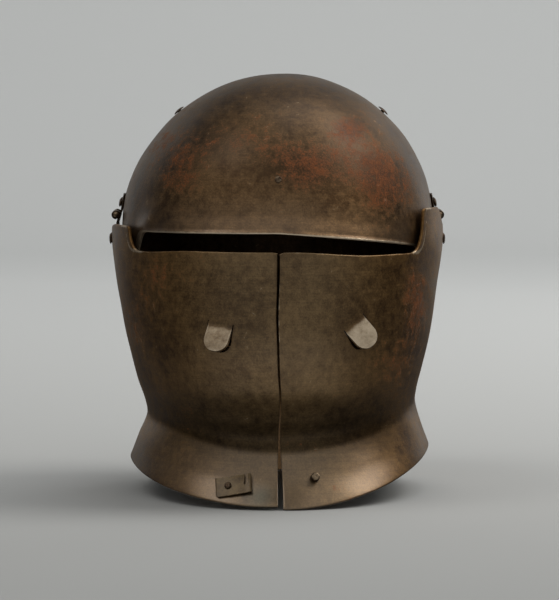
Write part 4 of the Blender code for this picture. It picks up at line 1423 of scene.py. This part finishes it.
# ---- collar latch ----
@dataclass
class Latch:
    """What is left of the collar's fastening: the keeper plate with its torn notch and rivet on
    the wearer's right, and the hook's stud on the left."""

    shop: Workshop
    right: Surface
    left: Surface
    plate_x: float = -0.0283
    plate_z: float = 0.0143
    length: float = 0.0235
    height: float = 0.0148
    thick: float = 0.0012
    tilt: float = 13.0
    stud_x: float = 0.0236
    stud_z: float = 0.0190
    notch: tuple = (
        (0.0068, -0.0005), (0.0078, -0.0013), (0.0087, -0.0010), (0.0098, 0.0008),
        (0.0101, 0.0052), (0.0104, 0.0100), (0.0086, 0.0100),
    )  # the tear's outline from the plate's middle
    stud: tuple = (
        (0.0003, -0.0010), (0.0014, -0.0010), (0.0022, -0.0008), (0.0026, -0.0004), (0.0026, 0.0),
        (0.0018, 0.0),
    )  # radius and height of the tail, below the collar's inside
    head: tuple = (
        (0.0018, 0.0), (0.0027, 0.0), (0.0029, 0.0003), (0.00285, 0.0010), (0.0028, 0.0020),
        (0.0028, 0.0026), (0.0027, 0.0030), (0.0024, 0.0033), (0.0018, 0.0034), (0.0009, 0.00342),
        (0.0003, 0.0034),
    )  # radius and height of the head, above the collar's outside

    def angle_of(self, points: Array) -> Array:
        """The angle at which the collar has each point's x, by a few secant steps."""
        angle = np.arcsin(np.clip(points[..., 0] / 0.112, -1, 1))
        for _ in range(6):
            across, _ = slopes(self.right, angle, points[..., 2])
            angle = angle - (self.right(angle, points[..., 2])[..., 0] - points[..., 0]) / across[..., 0]
        return angle

    def plate(self, place: Matrix) -> Mesh:
        """The plate follows the collar, its end by the seam raised a little, with a corner
        clipped and the torn notch.

        Args:
            place: Frame of its middle.

        Returns:
            The mesh, dressed.
        """
        half_l, half_h = self.length / 2, self.height / 2
        u, v = np.linspace(-0.5, 0.5, 58), np.linspace(-0.5, 0.5, 38)
        for edge in (u, v):
            edge[1:3] = edge[0] + np.array([0.004, 0.014])
            edge[-3:-1] = edge[-1] - np.array([0.014, 0.004])
        us, vs = np.meshgrid(u, v, indexing="ij")
        flat = carried(place, np.stack([us * self.length, vs * self.height, 0 * us], -1))
        angle = self.angle_of(flat)
        out = normals(self.right, angle, flat[..., 2])
        seamward = smooth(0.2, 0.5, us)
        raised = 0.0005 * smooth(0.30, 0.5, us) + 0.0003 * smooth(0.1, 0.5, vs) * seamward
        depth = np.minimum((0.5 - np.abs(us)) * self.length, (0.5 - np.abs(vs)) * self.height)
        share = rim_share(depth, 0.00045, 2.6)
        middle = self.right(angle, flat[..., 2]) + out * (GAP / 2 + self.thick / 2 + raised)[..., None]
        x, y, past = -half_l, -half_h, 0.002
        clip = [(x - past, y - past), (x + 0.0036, y - past), (x - past, y + 0.0040)]
        tools = [prism("latch_notch", self.notch, 0.006, place), prism("latch_clip", clip, 0.006, place)]
        made = creased(combined(slab("latch_plate", middle, out, self.thick / 2 * share), tools), 42)
        x, y, _ = carried(place.inverted(), points_of(made)).T
        edge = np.minimum(half_l - np.abs(x), half_h - np.abs(y))
        tip = np.exp(-((x - 0.0098) ** 2 + (y - 0.0072) ** 2) / 0.0016**2)
        paint(
            made,
            wear=0.40 * (1 - smooth(0.0002, 0.0009, edge)) + tip,
            tint=np.tile([0.92, 0.98, 0.95], (len(x), 1)),
            polish=np.full(len(x), 0.35),
        )
        return made

    def make(self) -> None:
        """Builds and mounts the plate, its rivet and the stud."""
        shop, sheet = self.shop, self.shop.form.sheet
        turn = turn_at(self.right, self.plate_x, self.plate_z)
        tilted = Matrix.Rotation(math.radians(self.tilt), 4, "Z")
        place = frame_on(self.right, turn, self.plate_z) @ tilted
        shop.add(self.plate(place), Side.RIGHT.body, Slot.IRON, Slot.STEEL)
        spot = place @ Vector((-0.0034, 0.0, 0.0))
        turn = turn_at(self.right, spot.x, spot.z)
        place = frame_on(self.right, turn, spot.z, self.thick + 2 * GAP)
        rivet = Rivet(0.0023, 0.0006, sheet + self.thick + 3 * GAP)
        shop.add(rivet.mesh("latch_rivet", place), Side.RIGHT.body, Slot.IRON)
        turn = turn_at(self.left, self.stud_x, self.stud_z)
        place = frame_on(self.left, turn, self.stud_z, 2 * GAP)
        tail = np.array(self.stud) - np.array([0, sheet + 3 * GAP])
        stud = turned("latch_stud", np.concatenate([tail, self.head]), 36, place, 0.022)
        above = carried(place.inverted(), points_of(stud))[:, 2]
        paint(stud, wear=0.6 * smooth(0.0022, 0.0032, above))
        shop.add(stud, Side.LEFT.body, Slot.IRON)


# ---- lining ----
@dataclass
class Lining:
    """The leather harness riveted inside the skull, and the quilted linen cap sewn under it."""

    shop: Workshop
    strap_width: float = 0.0220
    strap: float = 0.0018
    strap_radius: float = 0.108
    cap: float = 0.0080
    cap_edge_z: float = 0.1870
    channels: int = 20
    rows: int = 48

    def dome(self, direction: Array, inset: float) -> Array:
        """The point of the dome under a direction from its centre, inset from its outside: the
        direction divided by its length measured in the inset ellipsoid's half sizes."""
        form = self.shop.form
        reach = np.where(direction[..., 1] < 0, form.skull_front, form.skull_back)
        wide, tall = (np.full_like(reach, n) for n in (form.skull_half, form.crown_z - form.equator_z))
        axes = np.stack([wide, reach, tall], -1) - inset
        point = direction / np.linalg.norm(direction / axes, axis=-1, keepdims=True)
        lean = form.lean(form.equator_z + point[..., 2])
        return point + np.stack([lean, 0 * lean, 0 * lean + form.equator_z], -1)

    def layer(self, direction: Array, inset: float) -> tuple[Array, Array]:
        """Points of the dome inset from its outside, and their unit normals."""
        middle = self.dome(direction, inset)
        return middle, unit(middle - self.dome(direction, inset + 0.004))

    def strap_mesh(self, name: str, across: bool, start: float, end: float) -> Mesh:
        """A strap against the skull's inside, from start to end degrees over the crown."""
        length = math.radians(end - start) * self.strap_radius
        us, vs = np.meshgrid(np.linspace(0, 1, int(length / 0.002)), np.linspace(-0.5, 0.5, 17), indexing="ij")
        turn, off = np.radians(start + (end - start) * us), vs * self.strap_width / self.strap_radius
        parts = (np.sin(turn), off, np.cos(turn)) if across else (off, np.sin(turn), np.cos(turn))
        middle, out = self.layer(np.stack(parts, -1), self.shop.form.sheet + 4 * GAP + self.strap / 2)
        depth = np.minimum((0.5 - np.abs(vs)) * self.strap_width, np.minimum(us, 1 - us) * length)
        return slab(name, middle, out, self.strap / 2 * rim_share(depth, 0.0009, 2.2))

    def cap_mesh(self) -> Mesh:
        """The cap: a bowl from the crown to its edge, quilted in channels that run down from a
        ring at the top. Its thickness is full along each channel's middle and a third of it on
        the seams: a third plus two thirds of |sin|^0.6 of the channel angle.

        Returns:
            The mesh with its weave coordinates in metres: across, and down from the crown.
        """
        form = self.shop.form
        inset = form.sheet + self.strap + 0.0030 + self.cap / 2
        low = math.acos((self.cap_edge_z - form.equator_z) / (form.crown_z - form.equator_z))
        turn = np.linspace(0, 2 * np.pi, self.channels * 14, endpoint=False)
        fall = np.concatenate([np.linspace(0.02, 0.985, self.rows - 4), [0.992, 0.997, 0.9995, 1.0]]) * low
        turns, falls = np.meshgrid(turn, fall, indexing="ij")
        direction = np.stack([np.sin(turns) * np.sin(falls), -np.cos(turns) * np.sin(falls), np.cos(falls)], -1)
        puff = np.abs(np.sin(turns * self.channels / 2)) ** 0.6
        inner = smooth(0.10, 0.22, falls)
        bands = np.abs(np.cos((falls - 0.22) / (low - 0.26) * np.pi * 1.5)) ** 0.25
        quilted = puff * inner * smooth(low, low - 0.08, falls) * (0.72 + 0.28 * bands)
        fill = np.clip(0.34 + 0.66 * (quilted + 0.75 * (1 - inner)), 0.3, 1.0)
        middle, out = self.layer(direction, inset)
        full = self.cap / 2 * 0.97
        half = full * fill * rim_share((low - falls) * 0.105, 0.003, 2.0)
        poles = self.dome(np.array([0.0, 0.0, 1.0]), inset) + full * 0.82 * np.array([[0, 0, 1], [0, 0, -1]])
        mesh = slab("lining_cap", middle, out, half, poles)
        points = points_of(mesh)
        corner = np.empty(len(mesh.loops), dtype=np.int64)
        mesh.loops.foreach_get("vertex_index", corner)
        fall = np.arctan2(np.hypot(points[:, 0], points[:, 1]), points[:, 2] - form.equator_z)
        weave = np.stack([points[:, 0], fall * 0.1], -1)[corner]
        mesh.uv_layers.new(name="weave").data.foreach_set("uv", weave.astype(np.float32).ravel())
        return mesh

    def make(self) -> None:
        """Builds and mounts the straps, their four rivets and the cap."""
        shop, form = self.shop, self.shop.form
        gap = math.degrees((self.strap_width / 2 + 2 * GAP) / 0.104)
        for label, *strip in (("across", True, -50, 50), ("front", False, -78, -gap), ("rear", False, gap, 78)):
            shop.add(self.strap_mesh(f"lining_strap_{label}", *strip), "skull", Slot.LEATHER)
        crown, flush = (0.0041, 0.0014, 2.0), (0.0022, 0.0003, 3.0)
        rivets = (
            ("right", -math.pi / 2, 0.2528, crown),
            ("left", math.pi / 2, 0.2528, crown),
            ("front", 0.0, 0.2112, flush),
            ("rear", math.pi, 0.2150, flush),
        )
        for label, turn, height, (radius, rise, power) in rivets:
            rivet = Rivet(radius, rise, form.sheet + self.strap + 5 * GAP, 0.0030, dome=power)
            place = frame_on(form.skull, turn, height)
            shop.add(rivet.mesh(f"lining_rivet_{label}", place), "skull", Slot.IRON)
        shop.add(self.cap_mesh(), "skull", Slot.LINEN)


# ---- studio ----
@dataclass
class Studio:
    """Camera, soft lights, and grey paper from the floor up the wall behind."""

    lens: float = 214.9
    target: tuple = (0.0015, 0.0, 0.1265)
    distance: float = 2.4
    elevation: float = 4.0
    wall_y: float = 3.9
    wall_z: float = 3.6
    sweep: float = 1.1
    paper_x: float = 5.0
    sky: tuple = (
        (0.04, 0.01), (0.10, 0.05), (0.17, 0.75), (0.27, 1.05), (0.38, 0.52),
        (0.47, 0.30), (0.56, 0.34), (0.67, 0.48), (0.85, 0.80), (1.0, 0.80),
    )  # the room's light from straight below (0) to straight above (1)

    def aimed(self, name: str, data: bpy.types.ID, place: Vector, way: Vector) -> Object:
        """Puts a camera or a lamp at a place, facing a way."""
        made = linked(name, data)
        made.location = place
        made.rotation_euler = way.to_track_quat("-Z", "Y").to_euler()
        return made

    def camera(self) -> None:
        """A long lens a little above the helmet, straight from the front."""
        data = bpy.data.cameras.new("camera")
        data.lens, data.sensor_width = self.lens, 36.0
        rise = math.radians(self.elevation)
        back = Vector((0, -math.cos(rise), math.sin(rise)))
        place = Vector(self.target) + back * self.distance
        bpy.context.scene.camera = self.aimed("camera", data, place, -back)

    def paper(self) -> None:
        """The floor, a quarter circle, and the wall: strips of constant section along X."""
        turn = np.linspace(0, np.pi / 2, 24)
        start = self.wall_y - self.sweep
        bend = np.stack([start + self.sweep * np.sin(turn), self.sweep * (1 - np.cos(turn))], -1)
        floor = np.array([(-self.paper_x, 0.0), (1.2, 0.0)])
        wall = np.concatenate([floor[1:], bend, [(self.wall_y, self.wall_z)]])
        finish = StudioPaper().material()
        for name, path, shiny in (("floor", floor, False), ("backdrop", wall, True)):
            x = np.repeat([-self.paper_x, self.paper_x], len(path))
            points = np.column_stack([x, np.tile(path, (2, 1))])
            index = np.arange(len(points)).reshape(2, len(path))
            mesh = bpy.data.meshes.new(name)
            mesh.from_pydata(points.tolist(), [], grid_faces(index)[:, ::-1].tolist())
            mesh.shade_smooth()
            mesh.materials.append(finish)
            sheet = linked(name, mesh)
            sheet.visible_glossy = shiny

    def light(self, name: str, place: tuple, aim: tuple, size: tuple, power: float, tone: str) -> None:
        """A soft area light.

        Args:
            name: Its name.
            place: Where it hangs.
            aim: The point that it faces.
            size: Its two sides.
            power: Watts.
            tone: Its sRGB colour.
        """
        data = bpy.data.lights.new(name, "AREA")
        data.shape, data.size, data.size_y = "RECTANGLE", *size
        data.energy, data.color = power, colour(tone)[:3]
        self.aimed(name, data, Vector(place), Vector(aim) - Vector(place))

    def room(self) -> None:
        """The room's own light: dim, paler above than below, and dimmer at the sides and back."""
        world = bpy.data.worlds.new("room")
        world.use_nodes = True
        bpy.context.scene.world = world
        node = partial(add, world.node_tree)
        way = node("TexCoord", out="Generated")
        share = node("MapRange", node("SeparateXYZ", way, out=2), -1.0, 1.0)
        tone = node("ValToRGB", share, stops=[(at, (grey, grey, grey, 1.0)) for at, grey in self.sky])
        facing = node("MapRange", node("SeparateXYZ", way, out=1), -1.0, 0.0, 1.0, 0.16)
        tone = node("VectorMath", tone, facing, operation="MULTIPLY")
        plug(world.node_tree, world.node_tree.nodes["Background"], {"Color": tone, "Strength": 1.0})

    def make(self) -> None:
        """Sets up the whole studio."""
        bpy.context.scene.view_settings.view_transform = "Standard"
        self.camera()
        self.paper()
        self.room()
        aim, wing = (0.0, 0.0, 0.14), (0.6, 1.5)
        self.light("key", (1.50, 0.10, 1.85), aim, (1.2, 1.2), 19.0, "#fffaf4")
        self.light("second_key", (-1.10, -0.45, 2.05), aim, (1.0, 1.0), 7.0, "#fffaf4")
        self.light("backdrop_lamp", (1.2, 1.0, 3.6), (0.9, 2.8, 0.0), (3.0, 2.4), 52.0, "#ffffff")
        self.light("left_wing", (-1.3, 1.6, 0.8), aim, wing, 1.2, "#ffffff")
        self.light("right_wing", (1.3, 1.6, 0.8), aim, wing, 3.0, "#ffffff")


# ---- assembly ----
def main() -> None:
    """Builds each sub-assembly in order and sets the studio."""
    logging.basicConfig(level=logging.INFO, format="%(name)s %(message)s")
    shop = Workshop()
    Skull(shop).make()
    right = CheekPiece(shop, Side.RIGHT, Vent(-0.0365, 0.1203, -9, 0.0182, 0.0195, 0.0084, 26), corner=0.0006)
    left = CheekPiece(shop, Side.LEFT, Vent(0.0484, 0.1203, 36, 0.0184, 0.0202, 0.0084, 30), corner=0.0016)
    for cheek in (right, left):
        cheek.make()
    for side in Side:
        Hinge(shop, side).make()
    Latch(shop, right.surface, left.surface).make()
    Lining(shop).make()
    Studio().make()


if __name__ == "__main__":
    main()
